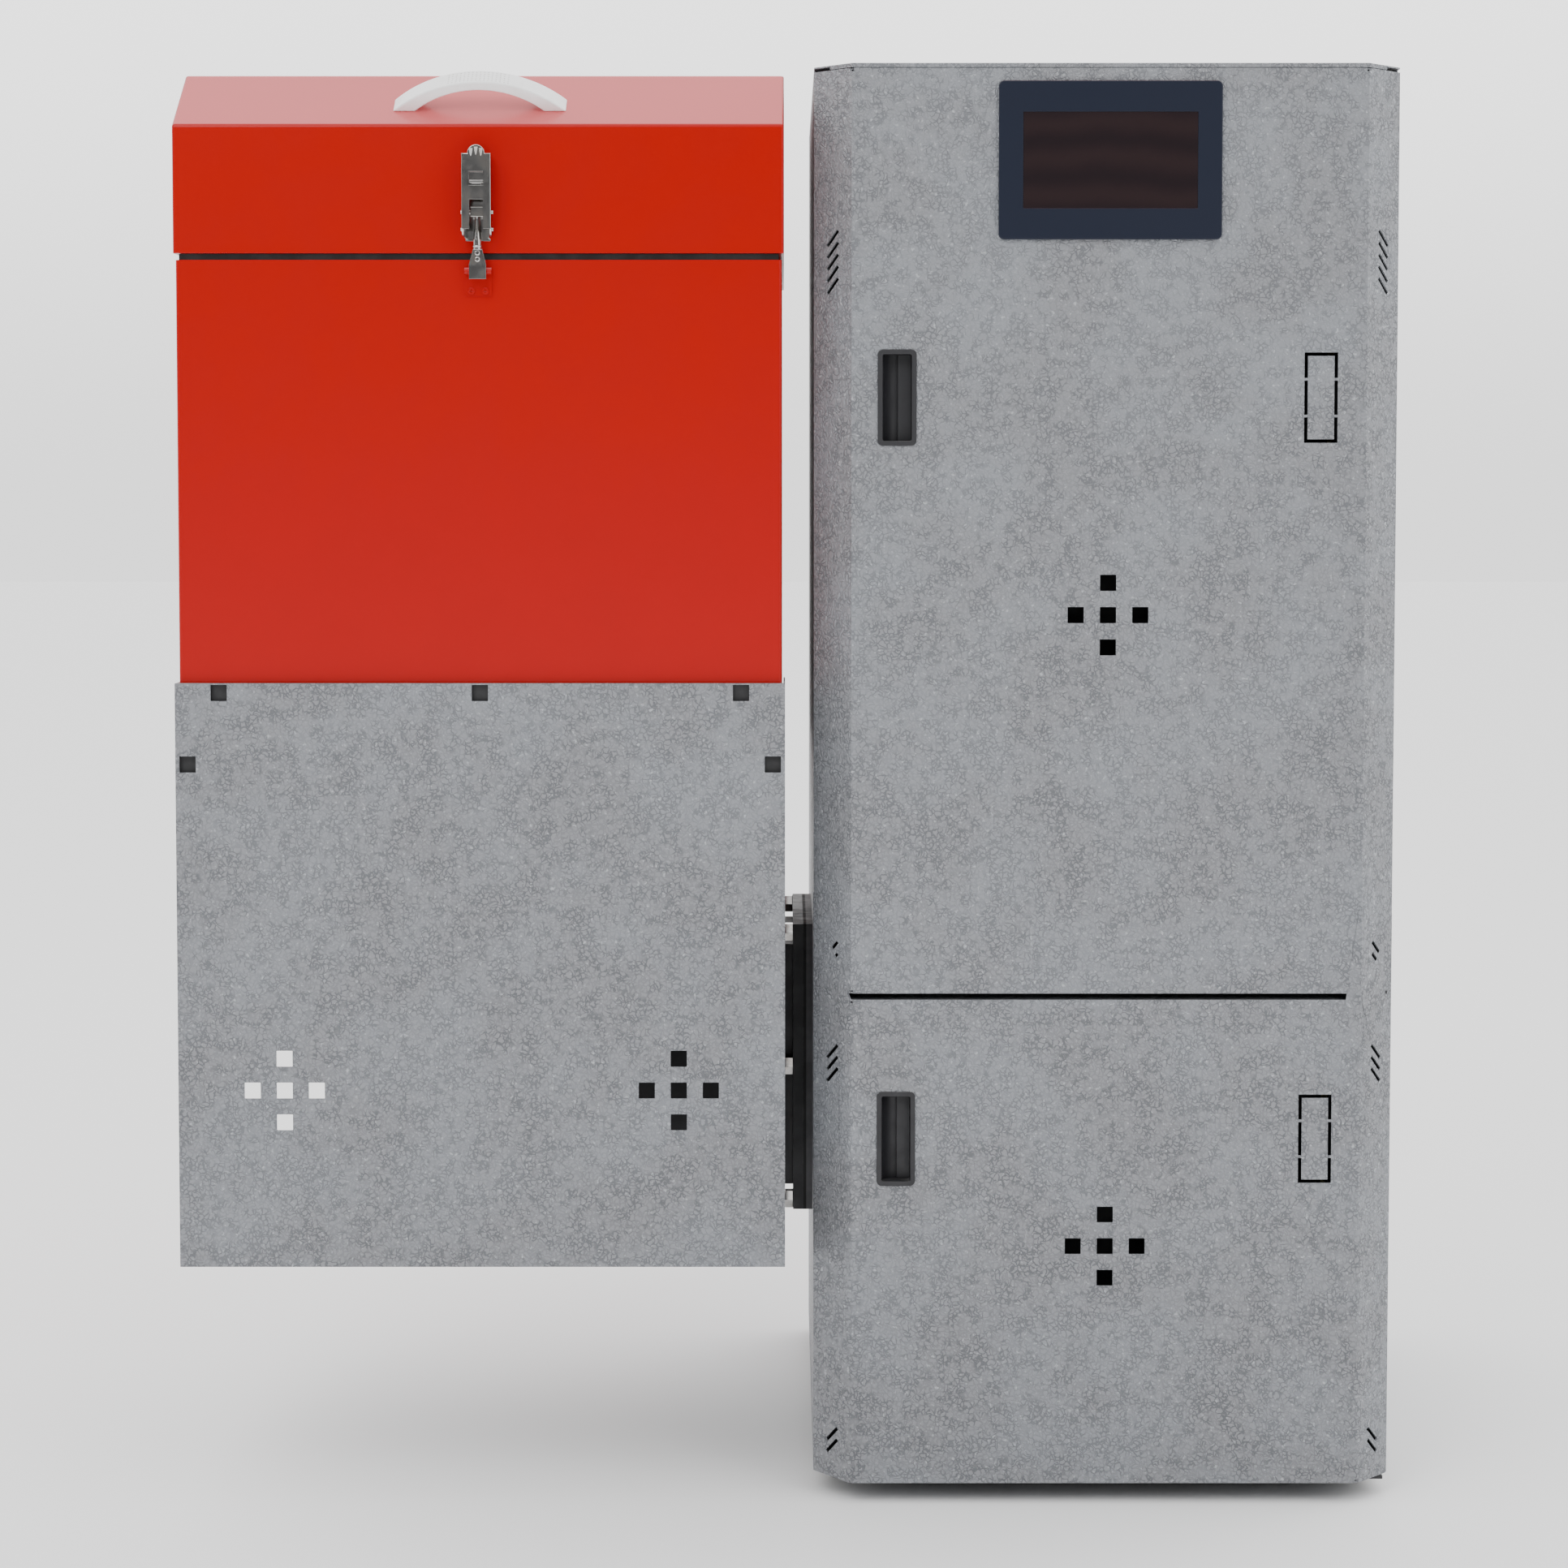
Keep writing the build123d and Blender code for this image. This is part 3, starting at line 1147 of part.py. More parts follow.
def hopper_funnel():
    """Sloping sheet floor that leads fuel to the throat."""
    half_depth = HOPPER_DEPTH / 2
    throat_x = THROAT_WIDTH / 2
    throat_y = THROAT_DEPTH / 2
    outer = pyramid(hopper_half, half_depth, throat_x, throat_y)
    trim = FUNNEL_SHEET
    return outer - pyramid(hopper_half - trim, half_depth - trim, throat_x - trim, throat_y - trim)


def hopper_throat():
    """Rectangular neck that saddles the feeder tube."""
    low = (throat_left, feeder_y - THROAT_DEPTH / 2, FEEDER_HEIGHT)
    high = (throat_left + THROAT_WIDTH, feeder_y + THROAT_DEPTH / 2, throat_top)
    neck = tube_wall(low, high, FUNNEL_SHEET)
    return neck - rod_x(low[0] - OVER, high[0] + OVER, feeder_y, FEEDER_HEIGHT, TUBE_RADIUS)


def square_hole(x, z):
    """Square cutter through the skirt's front."""
    half = VENT_SQUARE / 2
    return block((x - half, door_front - SHEET, z - half), (x + half, door_front + 2 * SHEET, z + half))


def hanger_places():
    """Middle of each square hanging hole along X and Z."""
    row = skirt_top - HANG_HOLE_DROP
    side_row = skirt_top - SIDE_HOLE_DROP
    places = [(hopper_mid + share * (SKIRT_WIDTH / 2 - HANG_HOLE_INSET), row) for share in (-1, 0, 1)]
    edge = SKIRT_WIDTH / 2 - SIDE_HOLE_INSET
    return places + [(hopper_mid - edge, side_row), (hopper_mid + edge, side_row)]


def hopper_skirt():
    """Silver cover below the hopper: front, two returns and a top ledge."""
    front = block((skirt_left, door_front, SKIRT_BOTTOM), (skirt_right, door_front + SHEET, skirt_top))
    ledge_back = door_front + SKIRT_FLANGE
    front += block((skirt_left, door_front, skirt_top - SHEET), (skirt_right, ledge_back, skirt_top))
    low = (skirt_left, door_front, SKIRT_BOTTOM)
    front += block(low, (skirt_left + SHEET, door_front + SKIRT_LEFT_RETURN, skirt_top))
    low = (skirt_right - SHEET, door_front, SKIRT_BOTTOM)
    front += block(low, (skirt_right, door_front + SKIRT_RIGHT_RETURN, skirt_top))
    for side in (-1, 1):
        vent_x = hopper_mid + side * (SKIRT_WIDTH / 2 - SKIRT_VENT_INSET)
        front -= plus_vent(vent_x, SKIRT_BOTTOM + SKIRT_VENT_HEIGHT)
    for x, z in hanger_places():
        front -= square_hole(x, z)
    return front


def skirt_hangers():
    """Spacer straps that the skirt hangs from, each with a dark plate behind its hole."""
    pieces = []
    near = door_front + SHEET
    for x, z in hanger_places():
        high_z = z - VENT_SQUARE / 2 - HANGER_GAP
        low = (x - HANGER_HALF, near, high_z - HANGER_LENGTH + HANGER_GAP)
        strap = block(low, (x + HANGER_HALF, hopper_front, high_z))
        plate_low = (low[0], hopper_front - HANGER_PLATE, low[2])
        strap += block(plate_low, (x + HANGER_HALF, hopper_front, z + VENT_SQUARE / 2))
        pieces.append(strap)
    return group(pieces)


def latch_keeper():
    """Screwed plate with a rolled top that the draw rod's spade lies over."""
    near = hopper_front - SHEET
    half = KEEPER_WIDTH / 2
    low_z = keeper_top - KEEPER_PLATE_HEIGHT
    plate = block((hopper_mid - half, near, low_z), (hopper_mid + half, hopper_front, keeper_top - SHEET))
    roll_y = near - KEEPER_ROLL_RADIUS + KEEPER_ROLL_BITE
    roll_z = keeper_top - KEEPER_ROLL_RADIUS
    web_top = roll_z + KEEPER_ROLL_RADIUS / 2
    plate += block((hopper_mid - half, roll_y, web_top - SHEET), (hopper_mid + half, near, web_top))
    plate += rod_x(hopper_mid - half, hopper_mid + half, roll_y, roll_z, KEEPER_ROLL_RADIUS)
    hole = SCREW_SHANK_RADIUS + SCREW_HOLE_GAP
    for side in (-1, 1):
        x = hopper_mid + side * SCREW_SPREAD
        plate -= rod_y(near - OVER, hopper_front + OVER, x, keeper_screw_z, hole)
    return plate


def keeper_screws():
    """Two pan-head screws with cross slots."""
    pieces = []
    near = hopper_front - SHEET
    for side in (-1, 1):
        x = hopper_mid + side * SCREW_SPREAD
        screw = rod_y(near - SCREW_HEAD_HEIGHT, near, x, keeper_screw_z, SCREW_HEAD_RADIUS)
        screw += rod_y(near, hopper_front + SCREW_REACH, x, keeper_screw_z, SCREW_SHANK_RADIUS)
        face = near - SCREW_HEAD_HEIGHT
        for arm_x, arm_z in ((CROSS_REACH, CROSS_WIDTH / 2), (CROSS_WIDTH / 2, CROSS_REACH)):
            low = (x - arm_x, face - OVER, keeper_screw_z - arm_z)
            screw -= block(low, (x + arm_x, face + CROSS_DEPTH, keeper_screw_z + arm_z))
        pieces.append(screw)
    return group(pieces)


def lid_seal():
    """Rubber strip on the hopper's rim."""
    low = (hopper_mid - hopper_half + SEAL_INSET, hopper_front + SEAL_INSET, HOPPER_TOP)
    high = (hopper_mid + hopper_half - SEAL_INSET, hopper_rear - SEAL_INSET, lid_bottom - FIT)
    return tube_wall(low, high, SEAL_WIDTH)


def lid_profile(inset, bottom):
    """Side view of the lid, from the front bottom corner round to the back."""
    front = lid_front + inset
    back = lid_rear - inset
    top = lid_top - inset
    crease = lid_crease - inset * math.tan((math.pi / 2 - lid_slope) / 2)
    shoulder = lid_front + LID_SLOPE_DEPTH + inset * math.tan(lid_slope / 2)
    points = [(0, front, bottom), (0, front, crease), (0, shoulder, top), (0, back, top), (0, back, bottom)]
    return make_face(Polyline(*points, close=True))


def lid_panel():
    """Hinged lid: front, sloping face, top, sides and back, open below."""
    half = hopper_half + LID_OVERHANG
    outer = extrude(lid_profile(0, lid_bottom), half, both=True)
    inner = extrude(lid_profile(SHEET, lid_bottom - OVER), half - SHEET, both=True)
    lid = Pos(hopper_mid, 0, 0) * outer - Pos(hopper_mid, 0, 0) * inner
    low = (hopper_mid - half, lid_front, lid_bottom)
    high = (hopper_mid + half, lid_rear, lid_bottom + SHEET)
    return lid + tube_wall(low, high, RIM_FLANGE)


def lid_handle():
    """Arched grip on the lid's sloping face."""
    y = lid_front + HANDLE_PLACE * LID_SLOPE_DEPTH
    z = lid_crease + HANDLE_PLACE * LID_SLOPE_RISE
    half = HANDLE_SPAN / 2
    inner = half - HANDLE_FOOT
    outer_arc = ThreePointArc((-half, 0), (0, HANDLE_RISE), (half, 0))
    inner_arc = ThreePointArc((inner, 0), (0, HANDLE_RISE - HANDLE_THICKNESS), (-inner, 0))
    outline = make_face(outer_arc + Line((half, 0), (inner, 0)) + inner_arc + Line((-inner, 0), (-half, 0)))
    downhill = (0, -math.cos(lid_slope), -math.sin(lid_slope))
    face = Plane((hopper_mid, y, z), x_dir=(1, 0, 0), z_dir=downhill)
    return face * extrude(outline, HANDLE_WIDTH / 2, both=True)


def lid_hinge_middles():
    """Middle of each lid hinge along X."""
    return [hopper_mid - LID_HINGE_SPREAD, hopper_mid + LID_HINGE_SPREAD]


def lid_hinge_brackets():
    """Hopper halves of the lid hinges with their pins."""
    y, z = lid_axis
    leaf_top = z - LID_KNUCKLE_RADIUS - LID_ARM_DROP
    arm_low = leaf_top - LID_ARM_THICKNESS
    pieces = []
    for x in lid_hinge_middles():
        low = (x - LID_HINGE_HALF, hopper_rear, z - LID_LEAF_HEIGHT)
        hinge = block(low, (x + LID_HINGE_HALF, hopper_rear + LID_LEAF, leaf_top))
        hinge += rod_x(x - LID_HINGE_HALF, x + LID_HINGE_HALF, y, z, LID_PIN_RADIUS)
        for side in (-1, 1):
            ends = (x + side * (LID_KNUCKLE_HALF + LID_KNUCKLE_GAP), x + side * LID_HINGE_HALF)
            near, far = sorted(ends)
            hinge += rod_x(near, far, y, z, LID_KNUCKLE_RADIUS)
            hinge += block((near, hopper_rear, arm_low), (far, y + LID_ARM_HALF, leaf_top))
            hinge += block((near, y - LID_ARM_HALF, arm_low), (far, y + LID_ARM_HALF, z - LID_PIN_RADIUS))
        pieces.append(hinge)
    return group(pieces)


def lid_hinge_leaves():
    """Lid halves of the hinges."""
    y, z = lid_axis
    low_z = z + LID_KNUCKLE_RADIUS + LEAF_LIFT
    arm_top = low_z + LID_ARM_THICKNESS
    pieces = []
    for x in lid_hinge_middles():
        high = (x + LID_HINGE_HALF, lid_rear + LID_LEAF, z + LID_LEAF_HEIGHT)
        leaf = block((x - LID_HINGE_HALF, lid_rear, low_z), high)
        near = x - LID_KNUCKLE_HALF
        far = x + LID_KNUCKLE_HALF
        leaf += rod_x(near, far, y, z, LID_KNUCKLE_RADIUS)
        leaf += block((near, y - LID_ARM_HALF, z), (far, y + LID_ARM_HALF, arm_top))
        leaf += block((near, lid_rear, low_z), (far, y + LID_ARM_HALF, arm_top))
        leaf -= rod_x(near - OVER, far + OVER, y, z, LID_PIN_RADIUS + RUNNING)
        pieces.append(leaf)
    return group(pieces)


# ---- toggle latch ----
def latch_base():
    """Plate on the lid with two ears and a short pivot pin on each."""
    y, z = latch_pivot
    ear_out = LEVER_WIDTH / 2 - LEVER_SHEET - EAR_GAP
    ear_in = ear_out - LEVER_SHEET
    low = (hopper_mid - ear_out, lid_front - LEVER_SHEET, z - BASE_DROP)
    base = block(low, (hopper_mid + ear_out, lid_front, z + BASE_RISE))
    for side in (-1, 1):
        inside = hopper_mid + side * ear_in
        near, far = sorted((inside, hopper_mid + side * ear_out))
        base += block((near, y - EAR_HALF_DEPTH, z - EAR_DROP), (far, lid_front, z + EAR_DROP))
        base += rod_x(inside, hopper_mid + side * LATCH_PIN_HALF, y, z, LATCH_PIN_RADIUS)
    return base


def latch_lever():
    """Folded lever: web outside, two flanges, a slot for the rod and a window."""
    y, z = latch_pivot
    half = LEVER_WIDTH / 2
    web_face = lid_front - LATCH_STAND
    top = z + LEVER_REACH
    lever = block((hopper_mid - half, web_face, z), (hopper_mid + half, web_face + LEVER_SHEET, top))
    for side in (-1, 1):
        near, far = sorted((hopper_mid + side * (half - LEVER_SHEET), hopper_mid + side * half))
        lever += block((near, web_face, z), (far, y + LEVER_BACK, top - LEVER_TIP_RADIUS))
        lever += rod_x(near, far, y, z, LEVER_FOOT_RADIUS)
    near = web_face - OVER
    through = web_face + 2 * LEVER_SHEET
    slot_half = LEVER_SLOT_WIDTH / 2
    slot_high = (hopper_mid + slot_half, through, z + LEVER_SLOT_TOP)
    lever -= block((hopper_mid - slot_half, near, z - OVER), slot_high)
    window_low = z + WINDOW_RISE - WINDOW_HEIGHT / 2
    window_half = WINDOW_WIDTH / 2
    low = (hopper_mid - window_half, near, window_low)
    lever -= block(low, (hopper_mid + window_half, through, window_low + WINDOW_HEIGHT))
    tip_start = top - LEVER_TIP_RADIUS
    corner = block((hopper_mid - half, near, tip_start), (hopper_mid + half, through, top + OVER))
    corner -= rod_y(near - OVER, through + OVER, hopper_mid, tip_start, LEVER_TIP_RADIUS)
    lever -= corner
    bore = LATCH_PIN_RADIUS + RUNNING
    for pin_y, pin_z in (latch_pivot, rod_pivot):
        lever -= rod_x(hopper_mid - half - OVER, hopper_mid + half + OVER, pin_y, pin_z, bore)
    return lever


def latch_rod():
    """Cross pin, draw rod, ferrule and spade plate."""
    y, z = rod_pivot
    rod = rod_x(hopper_mid - LATCH_PIN_HALF, hopper_mid + LATCH_PIN_HALF, y, z, LATCH_PIN_RADIUS)
    ferrule_top = z - ROD_LENGTH
    spade_top = ferrule_top - FERRULE_LENGTH
    rod += rod_z(ferrule_top, z, hopper_mid, y, ROD_RADIUS)
    rod += rod_z(spade_top, ferrule_top, hopper_mid, y, FERRULE_RADIUS)
    low = spade_top - SPADE_LENGTH
    shoulder = spade_top - SPADE_LENGTH / 2
    half_top = SPADE_TOP_WIDTH / 2
    half = SPADE_WIDTH / 2
    points = [(-half_top, spade_top + OVER), (half_top, spade_top + OVER), (half, shoulder)]
    points += [(half, low), (-half, low), (-half, shoulder)]
    outline = make_face(Polyline(*points, close=True))
    face = Plane((hopper_mid, lid_front - SPADE_STAND, 0), x_dir=(1, 0, 0), z_dir=(0, -1, 0))
    return rod + face * extrude(outline, SPADE_THICKNESS)


NODES = {
    "base_frame": base_frame,
    "levelling_feet": levelling_feet,
    "water_jacket": water_jacket,
    "flue_baffles": flue_baffles,
    "burner_retort": burner_retort,
    "burner_ring": burner_ring,
    "flame_deflector": flame_deflector,
    "ash_drawer": ash_drawer,
    "flue_collar": flue_collar,
    "supply_pipe": lambda: water_pipe(supply_z),
    "return_pipe": lambda: water_pipe(return_z),
    "drain_valve": drain_valve,
    "left_casing_panel": left_casing_panel,
    "right_casing_panel": right_casing_panel,
    "top_casing_panel": top_casing_panel,
    "rear_casing_panel": rear_casing_panel,
    "door_frame": door_frame,
    "insulation_wrap": insulation_wrap,
    "door_hinge_pins": door_hinge_pins,
    "inner_door_hinges": inner_door_hinges,
    "catch_magnets": catch_magnets,
    "feeder_flange": feeder_flange,
    "flange_gasket": flange_gasket,
    "flange_studs": flange_studs,
    "feeder_tube": feeder_tube,
    "air_box": air_box,
    "fan_housing": fan_housing,
    "fan_motor": fan_motor,
    "gearbox": gearbox,
    "gear_motor": gear_motor,
    "hopper_throat": hopper_throat,
    "hopper_funnel": hopper_funnel,
    "hopper_body": hopper_body,
    "hopper_skirt": hopper_skirt,
    "skirt_hangers": skirt_hangers,
    "lid_seal": lid_seal,
    "lid_hinge_brackets": lid_hinge_brackets,
    "latch_keeper": latch_keeper,
    "keeper_screws": keeper_screws,
    "auger": auger,
    "fan_impeller": fan_impeller,
    "upper_door_skin": upper_door_skin,
    "upper_pull_cup": lambda: pull_cup(upper_bottom + UPPER_PULL_HEIGHT),
    "display_bezel": display_bezel,
    "display_screen": display_screen,
    "control_box": control_box,
    "lower_door_skin": lower_door_skin,
    "lower_pull_cup": lambda: pull_cup(lower_bottom + LOWER_PULL_HEIGHT),
    "cleaning_door_plate": lambda: inner_door_plate(CLEANING_DOOR_BOTTOM, cleaning_height),
    "cleaning_door_rope": lambda: door_rope(CLEANING_DOOR_BOTTOM, cleaning_height),
    "cleaning_door_handle": lambda: door_grip(CLEANING_DOOR_BOTTOM, cleaning_height),
    "furnace_door_plate": lambda: inner_door_plate(FURNACE_DOOR_BOTTOM, furnace_height),
    "furnace_door_rope": lambda: door_rope(FURNACE_DOOR_BOTTOM, furnace_height),
    "furnace_door_handle": lambda: door_grip(FURNACE_DOOR_BOTTOM, furnace_height),
    "lid_panel": lid_panel,
    "lid_hinge_leaves": lid_hinge_leaves,
    "lid_handle": lid_handle,
    "latch_base": latch_base,
    "latch_lever": latch_lever,
    "latch_rod": latch_rod,
}

os.makedirs("parts", exist_ok=True)
for node, build in NODES.items():
    export_step(build(), "parts/" + node + ".step")
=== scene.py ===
"""Looks of an automatic solid-fuel boiler with a side hopper and a latched lid."""

import json
import logging
import math
from dataclasses import dataclass
from enum import Enum
from typing import Callable

import bmesh
import bpy
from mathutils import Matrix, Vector


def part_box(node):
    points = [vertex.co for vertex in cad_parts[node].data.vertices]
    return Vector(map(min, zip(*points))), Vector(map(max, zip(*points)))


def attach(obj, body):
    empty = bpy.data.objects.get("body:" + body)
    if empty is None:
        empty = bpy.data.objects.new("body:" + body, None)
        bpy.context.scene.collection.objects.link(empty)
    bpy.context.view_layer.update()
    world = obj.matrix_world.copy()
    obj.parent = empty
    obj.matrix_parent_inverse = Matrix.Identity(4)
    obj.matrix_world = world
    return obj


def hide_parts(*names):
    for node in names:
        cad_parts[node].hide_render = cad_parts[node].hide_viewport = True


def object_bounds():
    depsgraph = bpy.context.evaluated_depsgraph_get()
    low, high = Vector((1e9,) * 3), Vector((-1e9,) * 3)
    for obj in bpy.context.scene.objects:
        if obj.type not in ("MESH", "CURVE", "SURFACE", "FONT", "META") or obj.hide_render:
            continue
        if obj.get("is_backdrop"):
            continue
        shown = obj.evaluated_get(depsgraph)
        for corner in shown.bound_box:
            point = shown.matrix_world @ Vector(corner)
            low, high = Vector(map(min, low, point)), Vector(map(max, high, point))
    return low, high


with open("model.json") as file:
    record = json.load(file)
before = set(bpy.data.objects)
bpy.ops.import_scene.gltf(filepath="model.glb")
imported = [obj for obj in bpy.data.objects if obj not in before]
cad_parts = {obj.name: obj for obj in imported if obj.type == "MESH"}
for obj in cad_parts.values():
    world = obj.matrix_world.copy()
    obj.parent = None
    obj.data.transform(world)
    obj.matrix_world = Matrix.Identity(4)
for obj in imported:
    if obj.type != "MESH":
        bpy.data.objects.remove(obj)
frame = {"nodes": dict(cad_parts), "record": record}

log = logging.getLogger("boiler")
MM = 0.001
HAIR = 0.05 * MM
MERGE = 0.01 * MM
STRAIGHT = 0.999
Color = tuple[float, float, float]
Test = Callable[[object], bool]


def opaque(color: Color) -> tuple[float, float, float, float]:
    """Adds a full alpha to a colour."""
    return (*color, 1.0)


def darker(color: Color, share: float) -> Color:
    """Keeps only a share of a colour's red, green and blue."""
    return tuple(channel * share for channel in color)


def near(value: float, *places: float) -> bool:
    """Says if a value lies within a hair of one of the places."""
    return any(abs(value - place) < HAIR for place in places)


def along(edge: object, axis: int) -> bool:
    """Says if a mesh edge runs along an axis, 0, 1 or 2 for X, Y or Z."""
    direction = edge.verts[1].co - edge.verts[0].co
    return abs(direction[axis]) > STRAIGHT * direction.length


# ---------------------------------------------------------------- modelling
@dataclass(frozen=True)
class Round:
    """How an edge is rounded: width in metres and steps round it."""

    width: float
    steps: int = 2
    sharper: float = 35.0


class Bench:
    """The few hand tools that every sub-assembly is shaped with."""

    SMOOTH = 35.0
    HOLLOW_STEPS = 12
    HOLLOW_PROFILE = 0.08

    @staticmethod
    def clear() -> None:
        """Leaves edit mode and deselects everything."""
        if bpy.context.mode != "OBJECT":
            bpy.ops.object.mode_set(mode="OBJECT")
        bpy.ops.object.select_all(action="DESELECT")

    @staticmethod
    def pick(piece: bpy.types.Object) -> None:
        """Selects one object and makes it active.

        Args:
            piece: The object to work on.
        """
        Bench.clear()
        piece.select_set(True)
        bpy.context.view_layer.objects.active = piece

    @staticmethod
    def copy_of(node: str, name: str, flat: float = 0.6) -> bpy.types.Object:
        """Copies a CAD node's mesh, merged and with its flat faces joined.

        Args:
            node: Name of the CAD node.
            name: Name of the new piece.
            flat: Largest angle in degrees between triangles that become one face; 0 keeps them all.

        Returns:
            The new object, at the origin.
        """
        piece = bpy.data.objects.new(name, frame["nodes"][node].data.copy())
        piece.data.name = name
        bpy.context.scene.collection.objects.link(piece)
        piece.data.materials.clear()
        for layer in list(piece.data.uv_layers):
            piece.data.uv_layers.remove(layer)
        Bench.pick(piece)
        if piece.data.has_custom_normals:
            bpy.ops.mesh.customdata_custom_splitnormals_clear()
        bpy.ops.object.mode_set(mode="EDIT")
        bpy.ops.mesh.select_all(action="SELECT")
        bpy.ops.mesh.remove_doubles(threshold=MERGE)
        if flat:
            bpy.ops.mesh.dissolve_limited(angle_limit=math.radians(flat))
        bpy.ops.object.mode_set(mode="OBJECT")
        return piece

    @staticmethod
    def choose(piece: bpy.types.Object, kind: str, test: Test) -> int:
        """Enters edit mode and selects the faces, edges or vertices that pass a test.

        Args:
            piece: The object to edit.
            kind: "FACE", "EDGE" or "VERT".
            test: Takes the element and says if it is wanted.

        Returns:
            How many were selected.
        """
        Bench.pick(piece)
        bpy.ops.object.mode_set(mode="EDIT")
        bpy.ops.mesh.select_mode(type=kind)
        bpy.ops.mesh.select_all(action="DESELECT")
        mesh = bmesh.from_edit_mesh(piece.data)
        pool = {"FACE": mesh.faces, "EDGE": mesh.edges, "VERT": mesh.verts}[kind]
        wanted = [element for element in pool if test(element)]
        for element in wanted:
            element.select_set(True)
        mesh.select_flush_mode()
        bmesh.update_edit_mesh(piece.data)
        return len(wanted)

    @staticmethod
    def round_edges(piece: bpy.types.Object, shape: Round, test: Test) -> None:
        """Bevels the edges that pass a test.

        Args:
            piece: The object to edit.
            shape: Width and steps of the bevel.
            test: Takes an edge and says if it is wanted.
        """
        if Bench.choose(piece, "EDGE", test):
            bpy.ops.mesh.bevel(
                offset=shape.width, segments=shape.steps, affect="EDGES", clamp_overlap=True,
                loop_slide=False,
            )
        bpy.ops.object.mode_set(mode="OBJECT")

    @staticmethod
    def hollow(piece: bpy.types.Object, radius: float, test: Test) -> None:
        """Cuts a concave quarter round along the edges that pass a test.

        Args:
            piece: The object to edit.
            radius: Radius of the hollow in metres.
            test: Takes an edge and says if it is wanted.
        """
        if Bench.choose(piece, "EDGE", test):
            bpy.ops.mesh.bevel(
                offset=radius, segments=Bench.HOLLOW_STEPS, profile=Bench.HOLLOW_PROFILE, affect="EDGES",
                clamp_overlap=True,
            )
        bpy.ops.object.mode_set(mode="OBJECT")

    @staticmethod
    def squeeze(piece: bpy.types.Object, scale: tuple, centre: tuple, test: Test) -> None:
        """Scales the vertices that pass a test about a place.

        Args:
            piece: The object to edit.
            scale: Factor along each axis.
            centre: The place that stays.
            test: Takes a vertex and says if it is wanted.
        """
        Bench.choose(piece, "VERT", test)
        bpy.ops.transform.resize(value=scale, center_override=centre)
        bpy.ops.object.mode_set(mode="OBJECT")

    @staticmethod
    def shade(piece: bpy.types.Object, angle: float = SMOOTH) -> None:
        """Shades a piece smooth across its gentle edges and keeps flat faces flat.

        Args:
            piece: The object to shade.
            angle: Edges sharper than this many degrees stay sharp.
        """
        Bench.pick(piece)
        bpy.ops.object.shade_smooth_by_angle(angle=math.radians(angle))
        even = piece.modifiers.new("even normals", "WEIGHTED_NORMAL")
        even.keep_sharp = True
        bpy.ops.object.modifier_apply(modifier=even.name)

    @staticmethod
    def soften(piece: bpy.types.Object, shape: Round) -> None:
        """Rounds every sharp edge a little and shades the piece.

        Args:
            piece: The object to finish.
            shape: Width and steps of the rounding, and how sharp an edge has to be.
        """
        Bench.pick(piece)
        bevel = piece.modifiers.new("soft edges", "BEVEL")
        bevel.width = shape.width
        bevel.segments = shape.steps
        bevel.limit_method = "ANGLE"
        bevel.angle_limit = math.radians(shape.sharper)
        bevel.harden_normals = False
        bpy.ops.object.modifier_apply(modifier=bevel.name)
        Bench.shade(piece)

    @staticmethod
    def settle(piece: bpy.types.Object) -> bpy.types.Object:
        """Moves the piece's place into its mesh, so that its object sits at the origin.

        Args:
            piece: The object to settle.

        Returns:
            The same object.
        """
        Bench.pick(piece)
        bpy.ops.object.transform_apply(location=True, rotation=True, scale=True)
        return piece

    @staticmethod
    def join(pieces: list[bpy.types.Object], name: str) -> bpy.types.Object:
        """Joins several meshes into one object.

        Args:
            pieces: The meshes, all at the origin.
            name: Name of the result.

        Returns:
            The joined object.
        """
        Bench.clear()
        for piece in pieces:
            piece.select_set(True)
        whole = pieces[0]
        bpy.context.view_layer.objects.active = whole
        bpy.ops.object.join()
        whole.name = name
        whole.data.name = name
        return whole

    @staticmethod
    def block(name: str, low: Vector, high: Vector) -> bpy.types.Object:
        """Starts a piece from a cube between two corners.

        Args:
            name: Name of the piece.
            low: Lowest corner in metres.
            high: Highest corner in metres.

        Returns:
            The cube, its place in its mesh.
        """
        Bench.clear()
        bpy.ops.mesh.primitive_cube_add(size=1.0, location=(Vector(low) + Vector(high)) / 2)
        piece = bpy.context.active_object
        piece.name = name
        piece.data.name = name
        piece.scale = Vector(high) - Vector(low)
        return Bench.settle(piece)

    @staticmethod
    def disc(
        name: str, middle: Vector, axis: tuple, radius: float, depth: float, sides: int
    ) -> bpy.types.Object:
        """Starts a piece from a cylinder along any axis.

        Args:
            name: Name of the piece.
            middle: Its middle in metres.
            axis: Direction of its axis.
            radius: Radius in metres.
            depth: Length in metres.
            sides: Faces round it.

        Returns:
            The cylinder, its place in its mesh.
        """
        Bench.clear()
        turn = Vector((0, 0, 1)).rotation_difference(Vector(axis)).to_euler()
        bpy.ops.mesh.primitive_cylinder_add(
            vertices=sides, radius=radius, depth=depth, location=middle, rotation=turn
        )
        piece = bpy.context.active_object
        piece.name = name
        piece.data.name = name
        return Bench.settle(piece)


# ---------------------------------------------------------------- shader parts
@dataclass(frozen=True)
class Band:
    """Where a value starts and stops to count, and what it becomes there."""

    low: float
    high: float
    at_low: float = 0.0
    at_high: float = 1.0


@dataclass(frozen=True)
class Grit:
    """Settings of one noise texture."""

    scale: float
    detail: float
    roughness: float


